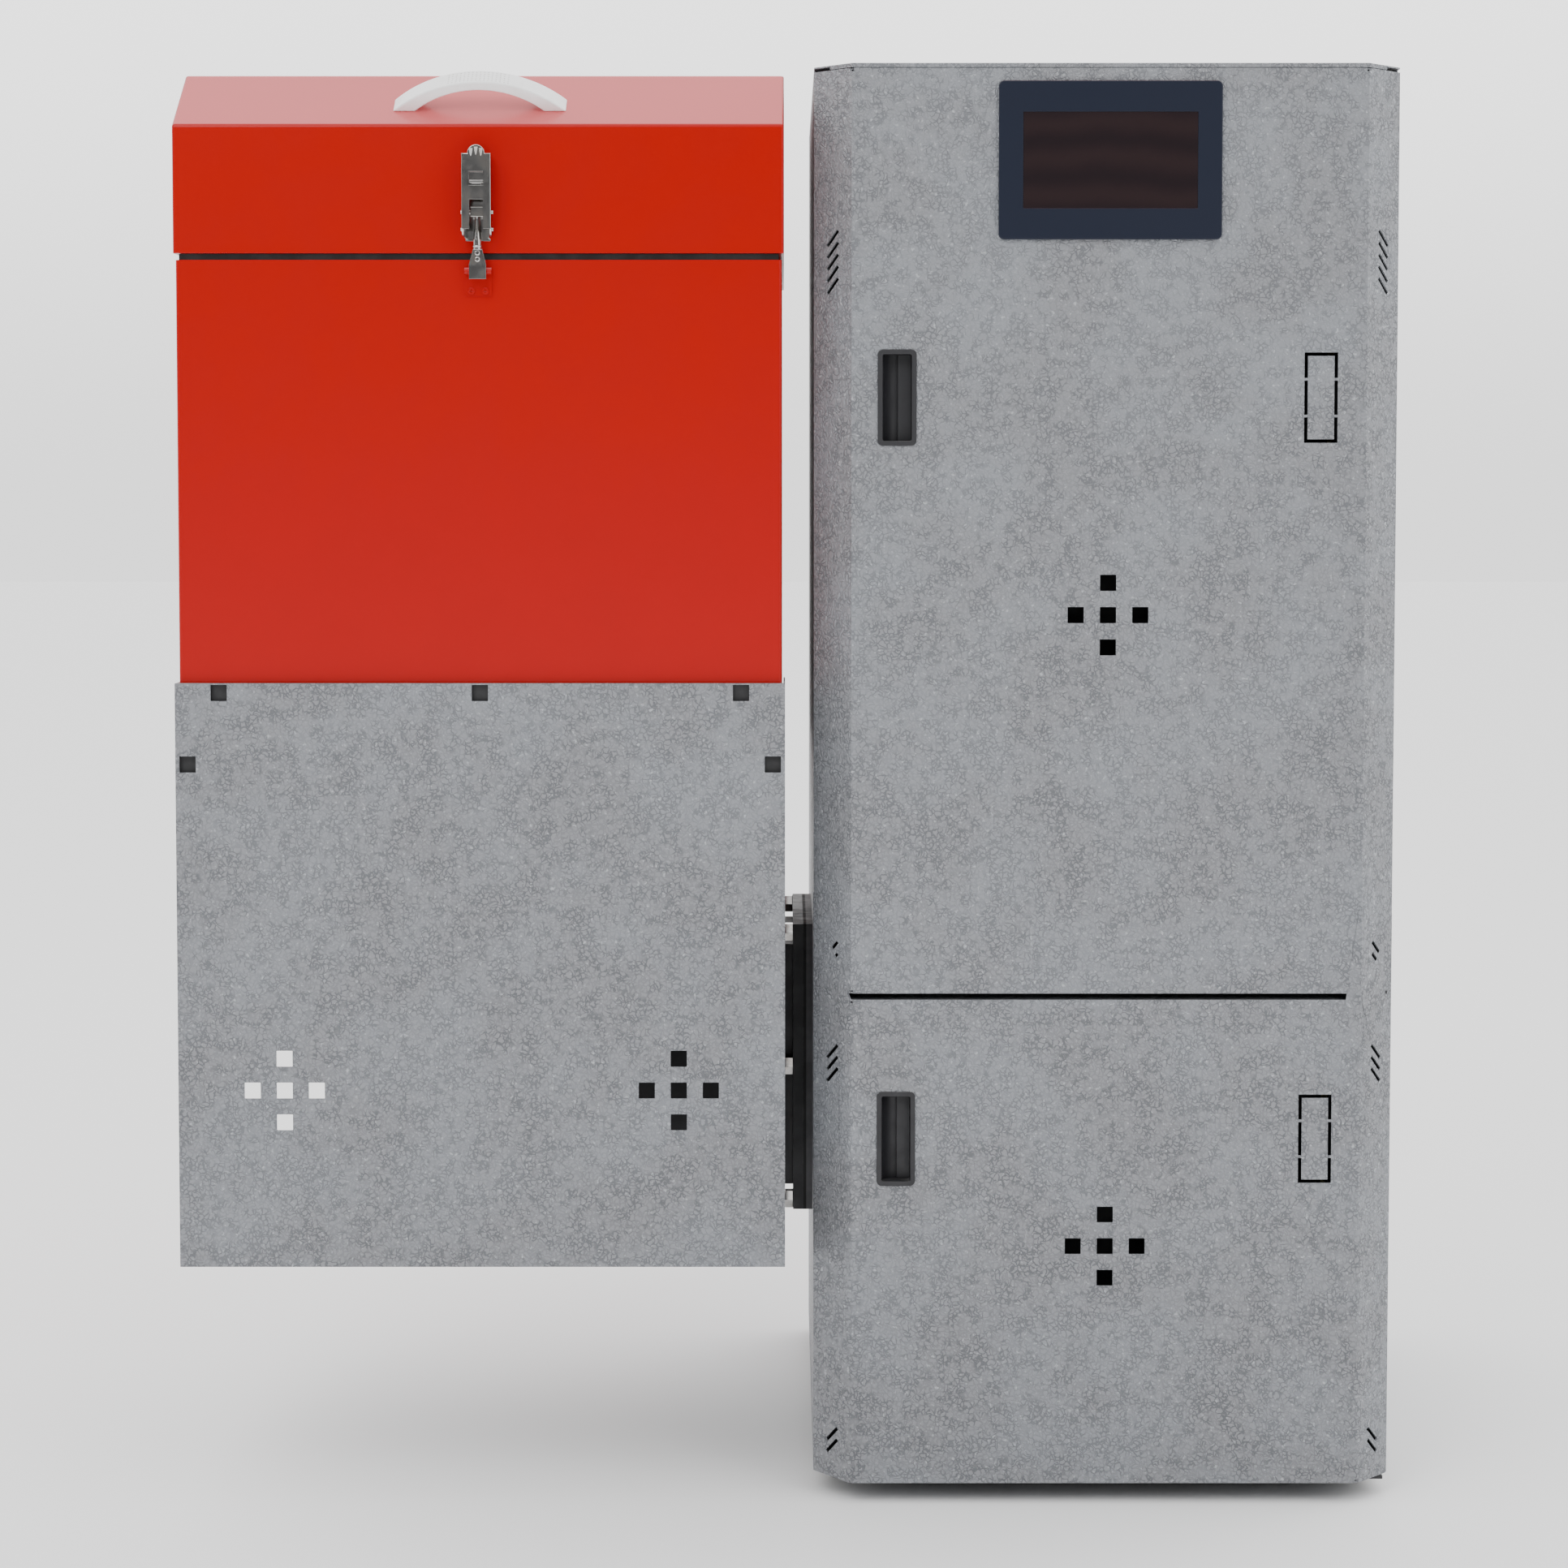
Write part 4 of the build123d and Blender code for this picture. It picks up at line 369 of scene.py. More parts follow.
class Wires:
    """Short ways to place and connect shader nodes in one tree."""

    def __init__(self, tree: bpy.types.NodeTree) -> None:
        """Keeps the node tree to fill."""
        self.tree = tree

    def add(self, kind: str, **values: object) -> bpy.types.Node:
        """Adds a node and sets its properties.

        Args:
            kind: Blender's type name of the node.
            values: Properties by name.

        Returns:
            The node.
        """
        node = self.tree.nodes.new(kind)
        for key, value in values.items():
            setattr(node, key, value)
        return node

    def link(self, start: bpy.types.NodeSocket, end: bpy.types.NodeSocket) -> None:
        """Connects an output to an input."""
        self.tree.links.new(start, end)

    def put(self, value: object, socket: bpy.types.NodeSocket) -> None:
        """Links a socket to an input, or sets the input's own value.

        Args:
            value: A socket or a plain value.
            socket: The input.
        """
        if isinstance(value, bpy.types.NodeSocket):
            self.link(value, socket)
        else:
            socket.default_value = value

    def feed(self, node: bpy.types.Node, **inputs: object) -> bpy.types.Node:
        """Sets or links inputs by name, with underscores for spaces.

        Args:
            node: The node whose inputs are set.
            inputs: A socket to link or a plain value for each input.

        Returns:
            The same node.
        """
        for key, value in inputs.items():
            self.put(value, node.inputs[key.replace("_", " ")])
        return node

    def maths(self, operation: str, first: object, second: object) -> bpy.types.NodeSocket:
        """Adds one Math node.

        Args:
            operation: Blender's name of the operation.
            first: Its first value or socket.
            second: Its second value or socket.

        Returns:
            The result.
        """
        node = self.add("ShaderNodeMath", operation=operation)
        for socket, value in zip(node.inputs, (first, second)):
            self.put(value, socket)
        return node.outputs[0]

    def times(self, first: object, second: object) -> bpy.types.NodeSocket:
        """Multiplies two values or sockets."""
        return self.maths("MULTIPLY", first, second)

    def aim(self, operation: str, *inputs: object) -> bpy.types.Node:
        """Adds one Vector Math node.

        Args:
            operation: Blender's name of the operation.
            inputs: Sockets or vectors for its first inputs.

        Returns:
            The node.
        """
        node = self.add("ShaderNodeVectorMath", operation=operation)
        for socket, value in zip(node.inputs, inputs):
            self.put(value, socket)
        return node

    def place(self) -> bpy.types.NodeSocket:
        """Adds the place on the object, in Object coordinates."""
        return self.add("ShaderNodeTexCoord").outputs["Object"]

    def axes(self, vector: bpy.types.NodeSocket) -> bpy.types.NodeOutputs:
        """Splits a vector.

        Args:
            vector: The vector's socket.

        Returns:
            Its X, Y and Z outputs.
        """
        split = self.add("ShaderNodeSeparateXYZ")
        self.link(vector, split.inputs[0])
        return split.outputs

    def noise(self, place: bpy.types.NodeSocket, grit: Grit, scale: object = None) -> bpy.types.Node:
        """Adds a noise texture.

        Args:
            place: Where it is read.
            grit: Its settings.
            scale: A socket that replaces the settings' own scale, times it.

        Returns:
            The node.
        """
        size = grit.scale if scale is None else self.times(scale, grit.scale)
        node = self.add("ShaderNodeTexNoise")
        return self.feed(node, Vector=place, Scale=size, Detail=grit.detail, Roughness=grit.roughness)

    def span(self, value: object, band: Band) -> bpy.types.NodeSocket:
        """Maps a band smoothly on another and clamps it.

        Args:
            value: The value's socket.
            band: Both ranges.

        Returns:
            The result.
        """
        node = self.add("ShaderNodeMapRange", interpolation_type="SMOOTHSTEP")
        self.feed(node, Value=value, From_Min=band.low, From_Max=band.high)
        self.feed(node, To_Min=band.at_low, To_Max=band.at_high)
        return node.outputs["Result"]

    def blend(self, amount: object, first: object, second: object) -> bpy.types.NodeSocket:
        """Mixes two colours.

        Args:
            amount: How much of the second shows.
            first: A colour or socket.
            second: A colour or socket.

        Returns:
            The mixed colour.
        """
        node = self.add("ShaderNodeMix", data_type="RGBA", blend_type="MIX", clamp_factor=True)
        for index, value in ((0, amount), (6, first), (7, second)):
            self.put(value, node.inputs[index])
        return node.outputs[2]


class Effect(Enum):
    """Names of the shared node groups."""

    HAMMER = "hammer relief"
    GRAIN = "fine grain"
    # This group also gives the painted sheen on faces that look up.
    DUST_AND_SHEEN = "dusting and painted sheen"
    WEAR = "edge wear"


@dataclass(frozen=True)
class EffectGroup:
    """A shared node group that gives masks and heights only."""

    @staticmethod
    def start(effect: Effect, inputs: dict[str, float], outputs: list[str]) -> tuple[Wires, dict, dict]:
        """Opens a group with named float inputs and outputs.

        Args:
            effect: Which group.
            inputs: Input names with their default values.
            outputs: Output names.

        Returns:
            The wires, the input sockets by name and the output sockets by name.
        """
        tree = bpy.data.node_groups.new(effect.value, "ShaderNodeTree")
        for name, value in inputs.items():
            socket = tree.interface.new_socket(name=name, in_out="INPUT", socket_type="NodeSocketFloat")
            socket.default_value = value
        for name in outputs:
            tree.interface.new_socket(name=name, in_out="OUTPUT", socket_type="NodeSocketFloat")
        wires = Wires(tree)
        source = wires.add("NodeGroupInput")
        target = wires.add("NodeGroupOutput")
        starts = {name: source.outputs[name] for name in inputs}
        ends = {name: target.inputs[name] for name in outputs}
        return wires, starts, ends

    def build(self) -> bpy.types.NodeTree:
        """Makes the group; each effect has its own way."""
        raise NotImplementedError


@dataclass(frozen=True)
class HammerRelief(EffectGroup):
    """Pebbled paint: small cells with thin broken valleys between them, which the finish darkens as painted
    shade, and spots for painted glints.
    """

    twist: Grit = Grit(0.8, 1.0, 0.5)
    middle: Color = (0.5, 0.5, 0.5)
    twist_reach: float = 2.4
    patch: Grit = Grit(0.45, 1.0, 0.5)
    broken: Band = Band(0.36, 0.60, 0.35, 1.0)
    line: Band = Band(0.04, 0.20, 1.0, 0.0)
    ripple: Grit = Grit(1.1, 2.0, 0.5)
    glint_band: Band = Band(0.60, 0.72)
    dome: Band = Band(0.0, 0.22)
    dome_height: float = 0.7
    ripple_height: float = 0.9
    valley_depth: float = 0.5
    cloud: Grit = Grit(11.0, 3.0, 0.55)
    cloud_band: Band = Band(0.35, 0.65)

    def build(self) -> bpy.types.NodeTree:
        """Warps a cell pattern and reads valleys, glint spots and height from it.

        Returns:
            The node group.
        """
        inputs = {"Cell": 0.005, "Warp": 0.6}
        wires, given, out = self.start(Effect.HAMMER, inputs, ["Height", "Valley", "Glint", "Cloud"])
        place = wires.place()
        scale = wires.maths("DIVIDE", 1.0, given["Cell"])
        twist = wires.noise(place, self.twist, scale)
        centred = wires.aim("SUBTRACT", twist.outputs["Color"], self.middle)
        shift = wires.aim("SCALE", centred.outputs[0])
        reach = wires.times(wires.times(given["Cell"], given["Warp"]), self.twist_reach)
        wires.link(reach, shift.inputs["Scale"])
        moved = wires.aim("ADD", place, shift.outputs[0])
        cells = wires.add("ShaderNodeTexVoronoi", feature="DISTANCE_TO_EDGE")
        wires.feed(cells, Vector=moved.outputs[0], Scale=scale, Randomness=1.0)
        distance = cells.outputs["Distance"]
        patch = wires.noise(place, self.patch, scale)
        # Valley mask: lowers the relief and also marks where the finish paints shade.
        valley = wires.times(wires.span(distance, self.line), wires.span(patch.outputs["Fac"], self.broken))
        wires.link(valley, out["Valley"])
        ripple = wires.noise(place, self.ripple, scale).outputs["Fac"]
        # Glint spots: where the finish paints a bright highlight into the colour.
        wires.link(wires.span(ripple, self.glint_band), out["Glint"])
        dome = wires.times(wires.span(distance, self.dome), self.dome_height)
        height = wires.maths("ADD", dome, wires.times(ripple, self.ripple_height))
        wires.link(wires.maths("SUBTRACT", height, wires.times(valley, self.valley_depth)), out["Height"])
        cloud = wires.noise(place, self.cloud).outputs["Fac"]
        wires.link(wires.span(cloud, self.cloud_band), out["Cloud"])
        return wires.tree


@dataclass(frozen=True)
class FineGrain(EffectGroup):
    """Fine even noise for paint, castings and mouldings, with a wide slow mottle."""

    fine: Grit = Grit(1.0, 3.0, 0.6)
    wide: Grit = Grit(0.04, 4.0, 0.6)
    mottle: Band = Band(0.3, 0.7)

    def build(self) -> bpy.types.NodeTree:
        """Reads the same noise fine and wide, stretched along X.

        Returns:
            The node group.
        """
        inputs = {"Size": 0.001, "Stretch": 1.0}
        wires, given, out = self.start(Effect.GRAIN, inputs, ["Height", "Mottle"])
        mapping = wires.add("ShaderNodeMapping")
        axes = wires.feed(wires.add("ShaderNodeCombineXYZ"), X=given["Stretch"], Y=1.0, Z=1.0)
        wires.feed(mapping, Vector=wires.place(), Scale=axes.outputs[0])
        scale = wires.maths("DIVIDE", 1.0, given["Size"])
        place = mapping.outputs[0]
        wires.link(wires.noise(place, self.fine, scale).outputs["Fac"], out["Height"])
        wide = wires.noise(place, self.wide, scale).outputs["Fac"]
        wires.link(wires.span(wide, self.mottle), out["Mottle"])
        return wires.tree


@dataclass(frozen=True)
class SettledDustAndSheen(EffectGroup):
    """A light dusting in patches on faces that look up, and an even painted sheen on all of them, a painted
    reflection of the sky.
    """

    grit: Grit = Grit(40.0, 5.0, 0.65)
    upward: Band = Band(0.5, 1.0)
    spread: Band = Band(0.35, 0.75)

    def build(self) -> bpy.types.NodeTree:
        """Masks by the face's direction and by noise.

        Returns:
            The node group.
        """
        wires, given, out = self.start(Effect.DUST_AND_SHEEN, {"Amount": 0.3}, ["Mask", "Painted Sheen"])
        normal = wires.add("ShaderNodeNewGeometry").outputs["Normal"]
        up = wires.span(wires.axes(normal)["Z"], self.upward)
        noise = wires.noise(wires.place(), self.grit).outputs["Fac"]
        patches = wires.times(up, wires.span(noise, self.spread))
        wires.link(wires.times(patches, given["Amount"]), out["Mask"])
        # Painted sheen: every face that looks up is lightened evenly, a painted reflection of the sky.
        wires.link(wires.times(up, given["Amount"]), out["Painted Sheen"])
        return wires.tree


@dataclass(frozen=True)
class EdgeWear(EffectGroup):
    """Thin bright rubbing along convex edges."""

    samples: int = 4
    grit: Grit = Grit(120.0, 4.0, 0.7)
    edge: Band = Band(0.90, 0.999, 1.0, 0.0)
    broken: Band = Band(0.40, 0.62)

    def build(self) -> bpy.types.NodeTree:
        """Compares the true normal with a rounded one.

        Returns:
            The node group.
        """
        wires, given, out = self.start(Effect.WEAR, {"Reach": 0.001, "Amount": 0.5}, ["Mask"])
        bevel = wires.feed(wires.add("ShaderNodeBevel", samples=self.samples), Radius=given["Reach"])
        plain = wires.add("ShaderNodeNewGeometry").outputs["Normal"]
        alike = wires.aim("DOT_PRODUCT", bevel.outputs[0], plain).outputs["Value"]
        noise = wires.noise(wires.place(), self.grit).outputs["Fac"]
        rubbed = wires.times(wires.span(alike, self.edge), wires.span(noise, self.broken))
        wires.link(wires.times(rubbed, given["Amount"]), out["Mask"])
        return wires.tree


class EffectLibrary:
    """Builds each shared node group once and places it in materials."""

    def __init__(self) -> None:
        """Builds all the groups."""
        self.groups = {
            Effect.HAMMER: HammerRelief().build(),
            Effect.GRAIN: FineGrain().build(),
            Effect.DUST_AND_SHEEN: SettledDustAndSheen().build(),
            Effect.WEAR: EdgeWear().build(),
        }

    def place(self, wires: Wires, effect: Effect, **inputs: float) -> bpy.types.NodeOutputs:
        """Puts a group in a material with its own values.

        Args:
            wires: The material's wires.
            effect: Which group.
            inputs: Its values by name.

        Returns:
            The group's outputs.
        """
        node = wires.add("ShaderNodeGroup")
        node.node_tree = self.groups[effect]
        return wires.feed(node, **inputs).outputs


# ---------------------------------------------------------------- finishes
@dataclass(frozen=True)
class Finish:
    """A finish with what every finish has; others add to it."""

    name: str
    color: Color
    roughness: float
    metallic: float = 0.0
    specular: float = 0.5

    def open(self) -> tuple[bpy.types.Material, Wires, bpy.types.Node]:
        """Makes the material with a Principled shader.

        Returns:
            The material, its wires and its Principled node.
        """
        material = bpy.data.materials.new(self.name)
        material.use_nodes = True
        wires = Wires(material.node_tree)
        shader = next(node for node in material.node_tree.nodes if node.type == "BSDF_PRINCIPLED")
        wires.feed(shader, Base_Color=opaque(self.color), Roughness=self.roughness, Metallic=self.metallic)
        wires.feed(shader, Specular_IOR_Level=self.specular)
        material.diffuse_color = opaque(self.color)
        return material, wires, shader

    def roughen(self, wires: Wires, shader: bpy.types.Node, mask: bpy.types.NodeSocket, rise: float) -> None:
        """Makes the finish duller where a mask is high.

        Args:
            wires: The material's wires.
            shader: Its Principled node.
            mask: From 0 to 1.
            rise: How much duller.
        """
        duller = min(1.0, self.roughness + rise)
        wires.link(wires.span(mask, Band(0.0, 1.0, self.roughness, duller)), shader.inputs["Roughness"])

    @staticmethod
    def bump(wires: Wires, shader: bpy.types.Node, height: object, depth: float, strength: float) -> None:
        """Drives the shader's normal with a height.

        Args:
            wires: The material's wires.
            shader: Its Principled node.
            height: The height's socket.
            depth: Depth in metres for a height of one.
            strength: From 0 to 1.
        """
        node = wires.feed(wires.add("ShaderNodeBump"), Height=height, Distance=depth, Strength=strength)
        wires.link(node.outputs["Normal"], shader.inputs["Normal"])

    def build(self, effects: EffectLibrary) -> bpy.types.Material:
        """Makes the material with the shared effects; each finish has its own way."""
        raise NotImplementedError


@dataclass(frozen=True)
class HammerPaint(Finish):
    """Hammer-effect paint over sheet steel."""

    cell: float = 4.6 * MM
    warp: float = 0.8
    depth: float = 0.45 * MM
    bump_strength: float = 0.8
    # Painted shade colour laid into the valleys.
    dark: Color = (0.07, 0.075, 0.085)
    # Painted highlight colour of the glints.
    light: Color = (0.60, 0.62, 0.65)
    warm: Color = (0.236, 0.241, 0.255)
    glint_share: float = 0.42
    valley_shade_share: Band = Band(0.0, 1.0, 0.46, 0.62)
    valley_dull: float = 0.2
    dust_and_sheen: float = 0.2
    dust_color: Color = (0.5, 0.49, 0.47)

    def build(self, effects: EffectLibrary) -> bpy.types.Material:
        """Relief, valleys darkened with painted shade, small painted glints and a slow change of tone.

        Args:
            effects: The shared effects.

        Returns:
            The material.
        """
        material, wires, shader = self.open()
        relief = effects.place(wires, Effect.HAMMER, Cell=self.cell, Warp=self.warp)
        tone = wires.blend(relief["Cloud"], opaque(self.color), opaque(self.warm))
        # Painted highlight: bright glints put into the paint's colour.
        with_glints = wires.blend(wires.times(relief["Glint"], self.glint_share), tone, opaque(self.light))
        # Painted shade: the valleys get darker, more so where the slow tone is high.
        depth = wires.span(relief["Cloud"], self.valley_shade_share)
        shade = wires.blend(wires.times(relief["Valley"], depth), with_glints, opaque(self.dark))
        dust_and_sheen = effects.place(wires, Effect.DUST_AND_SHEEN, Amount=self.dust_and_sheen)
        wires.feed(shader, Base_Color=wires.blend(dust_and_sheen["Mask"], shade, opaque(self.dust_color)))
        self.roughen(wires, shader, relief["Valley"], self.valley_dull)
        self.bump(wires, shader, relief["Height"], self.depth, self.bump_strength)
        return material


@dataclass(frozen=True)
class GlossPaint(Finish):
    """Gloss powder coat with a slight orange peel."""

    peel: float = 2.4 * MM
    peel_depth: float = 0.02 * MM
    bump_strength: float = 0.6
    mottle: float = 0.97
    mottle_dull: float = 0.02
    # Painted reflection: how far faces that look up are lightened towards the pale colour below.
    painted_sheen: float = 0.10
    painted_sheen_color: Color = (0.92, 0.30, 0.31)

    def build(self, effects: EffectLibrary) -> bpy.types.Material:
        """Orange peel, a slow change of tone and a pale painted sheen on faces that look up, a painted
        reflection of the sky.

        Args:
            effects: The shared effects.

        Returns:
            The material.
        """
        material, wires, shader = self.open()
        grain = effects.place(wires, Effect.GRAIN, Size=self.peel)
        tone = wires.blend(grain["Mottle"], opaque(self.color), opaque(darker(self.color, self.mottle)))
        # Painted reflection: faces that look up are blended towards a pale colour.
        dust_and_sheen = effects.place(wires, Effect.DUST_AND_SHEEN, Amount=self.painted_sheen)
        wires.feed(shader, Base_Color=wires.blend(dust_and_sheen["Painted Sheen"], tone, opaque(self.painted_sheen_color)))
        self.roughen(wires, shader, grain["Mottle"], self.mottle_dull)
        self.bump(wires, shader, grain["Height"], self.peel_depth, self.bump_strength)
        return material


@dataclass(frozen=True)
class DullPaint(Finish):
    """Matt or satin paint, casting or moulding with a fine grain."""

    grain: float = 0.9 * MM
    depth: float = 0.05 * MM
    bump_strength: float = 0.7
    wear: float = 0.25
    wear_reach: float = 0.7 * MM
    worn: Color = (0.35, 0.35, 0.36)
    mottle: float = 0.75
    mottle_dull: float = 0.15
    dust_and_sheen: float = 0.35
    dust_color: Color = (0.34, 0.33, 0.31)

    def build(self, effects: EffectLibrary) -> bpy.types.Material:
        """Grain, mottled tone, rubbed edges and dust.

        Args:
            effects: The shared effects.

        Returns:
            The material.
        """
        material, wires, shader = self.open()
        grain = effects.place(wires, Effect.GRAIN, Size=self.grain)
        tone = wires.blend(grain["Mottle"], opaque(self.color), opaque(darker(self.color, self.mottle)))
        edge = effects.place(wires, Effect.WEAR, Reach=self.wear_reach, Amount=self.wear)
        tone = wires.blend(edge["Mask"], tone, opaque(self.worn))
        dust_and_sheen = effects.place(wires, Effect.DUST_AND_SHEEN, Amount=self.dust_and_sheen)
        wires.feed(shader, Base_Color=wires.blend(dust_and_sheen["Mask"], tone, opaque(self.dust_color)))
        self.roughen(wires, shader, grain["Mottle"], self.mottle_dull)
        self.bump(wires, shader, grain["Height"], self.depth, self.bump_strength)
        return material


@dataclass(frozen=True)
class PlatedSteel(Finish):
    """Bright plated or brushed metal with faint stains."""

    stain: Color = (0.42, 0.38, 0.34)
    stain_grain: float = 0.6 * MM
    stain_share: Band = Band(0.45, 1.0, 0.0, 0.6)
    stain_dull: float = 0.07
    brush: float = 0.25 * MM
    stretch: float = 12.0
    brush_depth: float = 0.004 * MM
    bump_strength: float = 0.5

    def build(self, effects: EffectLibrary) -> bpy.types.Material:
        """Fine brushing, stains and uneven gloss.

        Args:
            effects: The shared effects.

        Returns:
            The material.
        """
        material, wires, shader = self.open()
        grain = effects.place(wires, Effect.GRAIN, Size=self.brush, Stretch=self.stretch)
        stains = effects.place(wires, Effect.GRAIN, Size=self.stain_grain)
        share = wires.span(stains["Mottle"], self.stain_share)
        wires.feed(shader, Base_Color=wires.blend(share, opaque(self.color), opaque(self.stain)))
        self.roughen(wires, shader, stains["Mottle"], self.stain_dull)
        self.bump(wires, shader, grain["Height"], self.brush_depth, self.bump_strength)
        return material


@dataclass(frozen=True)
class ScreenGlass(Finish):
    """Dark display glass with faint darker wavy bands."""

    band_color: Color = (0.014, 0.010, 0.012)
    wave_scale: float = 9.0
    wave_bend: float = 2.2
    wave_detail: float = 2.0
    wave_fineness: float = 1.4
    wave_roughness: float = 0.5
    wave_share: float = 0.8

    def build(self, effects: EffectLibrary) -> bpy.types.Material:
        """A dark face with soft brownish waves.

        Args:
            effects: The shared effects, not needed here.

        Returns:
            The material.
        """
        material, wires, shader = self.open()
        wave = wires.add("ShaderNodeTexWave", wave_type="BANDS", bands_direction="Z", wave_profile="SIN")
        wires.feed(wave, Vector=wires.place(), Scale=self.wave_scale, Distortion=self.wave_bend)
        wires.feed(wave, Detail=self.wave_detail, Detail_Scale=self.wave_fineness)
        wires.feed(wave, Detail_Roughness=self.wave_roughness)
        share = wires.times(wave.outputs["Fac"], self.wave_share)
        wires.feed(shader, Base_Color=wires.blend(share, opaque(self.color), opaque(self.band_color)))
        return material


@dataclass(frozen=True)
class Fibre(Finish):
    """Woven rope or wool slab."""

    thread: float = 2.0 * MM
    waves_per_thread: float = 0.32
    wave_bend: float = 1.5
    wave_detail: float = 2.0
    shadow: float = 0.6
    fluff: float = 0.8
    depth: float = 0.4 * MM
    bump_strength: float = 0.8

    def build(self, effects: EffectLibrary) -> bpy.types.Material:
        """Thread waves with a rough fluff.

        Args:
            effects: The shared effects.

        Returns:
            The material.
        """
        material, wires, shader = self.open()
        weave = wires.add("ShaderNodeTexWave", wave_type="BANDS", bands_direction="DIAGONAL")
        wires.feed(weave, Vector=wires.place(), Scale=self.waves_per_thread / self.thread)
        wires.feed(weave, Distortion=self.wave_bend, Detail=self.wave_detail)
        waves = weave.outputs["Fac"]
        grain = effects.place(wires, Effect.GRAIN, Size=self.thread / 2)
        dark = opaque(darker(self.color, self.shadow))
        wires.feed(shader, Base_Color=wires.blend(waves, opaque(self.color), dark))
        height = wires.maths("ADD", waves, wires.times(grain["Height"], self.fluff))
        self.bump(wires, shader, height, self.depth, self.bump_strength)
        return material


class Palette:
    """Every material of the object, by the record's slot."""

    FINISHES: dict[str, Finish] = {
        "hammered_silver": HammerPaint("hammered silver", (0.250, 0.262, 0.282), 0.40, metallic=0.35),
        # The red sheet gets a strong painted sheen on faces that look up.
        "red_gloss": GlossPaint("red gloss", (0.38, 0.0, 0.0), 0.24, specular=0.25, painted_sheen=0.55),
        "black_paint": DullPaint("black paint", (0.022, 0.022, 0.024), 0.48),
        "boiler_steel": DullPaint("boiler steel", (0.085, 0.085, 0.09), 0.55, wear=0.1),
        "cast_burner": DullPaint(
            "cast burner", (0.10, 0.09, 0.085), 0.7, grain=1.6 * MM, depth=0.3 * MM, mottle=0.6
        ),
        "zinc_steel": PlatedSteel("zinc steel", (0.52, 0.51, 0.50), 0.13, metallic=1.0),
        "brass_fitting": PlatedSteel(
            "brass fitting", (0.72, 0.50, 0.20), 0.28, metallic=1.0, stain=(0.45, 0.30, 0.14)
        ),
        "black_plastic": DullPaint(
            "black plastic", (0.014, 0.014, 0.017), 0.42, grain=0.7 * MM, depth=0.03 * MM, wear=0.0
        ),
        "bezel_plastic": GlossPaint(
            "bezel plastic", (0.011, 0.014, 0.026), 0.30, peel=6 * MM, peel_depth=0.002 * MM, specular=0.25
        ),
        "screen_glass": ScreenGlass("screen glass", (0.022, 0.014, 0.015), 0.18, specular=0.12),
        "handle_metal": PlatedSteel(
            "handle metal", (0.90, 0.90, 0.90), 0.32, metallic=0.15, stain=(0.84, 0.84, 0.83)
        ),
        "grip_plastic": DullPaint("grip plastic", (0.02, 0.02, 0.02), 0.5, wear=0.1),
        "seal_rubber": DullPaint("seal rubber", (0.018, 0.018, 0.018), 0.75, wear=0.0),
        "rope_fibre": Fibre("rope fibre", (0.55, 0.53, 0.48), 0.95),
        "wool": Fibre("mineral wool", (0.50, 0.42, 0.20), 0.98, thread=5.0 * MM),
    }

    def __init__(self) -> None:
        """Builds the shared effects; materials are made when first asked for."""
        self.effects = EffectLibrary()
        self.made: dict[str, bpy.types.Material] = {}

    def get(self, slot: str) -> bpy.types.Material:
        """Finds or makes the material of a slot.

        Args:
            slot: The record's material slot.

        Returns:
            The material.
        """
        if slot not in self.made:
            self.made[slot] = self.FINISHES[slot].build(self.effects)
        return self.made[slot]

    def dress(self, piece: bpy.types.Object, slot: str) -> None:
        """Gives a piece the material of a slot."""
        piece.data.materials.clear()
        piece.data.materials.append(self.get(slot))


# ---------------------------------------------------------------- sub-assemblies
@dataclass
class Assembly:
    """What every sub-assembly shares: the palette, a body and the way a piece is handed over."""

    palette: Palette
    body: str = "boiler"

    def hand_over(self, piece: bpy.types.Object, slot: str, replaced: tuple = (), body: str = "") -> None:
        """Dresses a piece and rides it on its body.

        Args:
            piece: The finished piece.
            slot: The record's material slot.
            replaced: CAD nodes that it stands for.
            body: Its body, if not the assembly's own.
        """
        self.palette.dress(piece, slot)
        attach(piece, body or self.body)
        if replaced:
            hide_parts(*replaced)
        log.info("%s: %d faces on %s", piece.name, len(piece.data.polygons), body or self.body)

    def refine(self, node: str, name: str, slot: str, shape: Round, body: str = "") -> None:
        """Replaces a CAD node by a copy with softly rounded edges.

        Args:
            node: The CAD node.
            name: Name of the new piece.
            slot: The record's material slot.
            shape: How its edges are rounded.
            body: Its body, if not the assembly's own.
        """
        piece = Bench.copy_of(node, name)
        Bench.soften(piece, shape)
        self.hand_over(piece, slot, (node,), body)


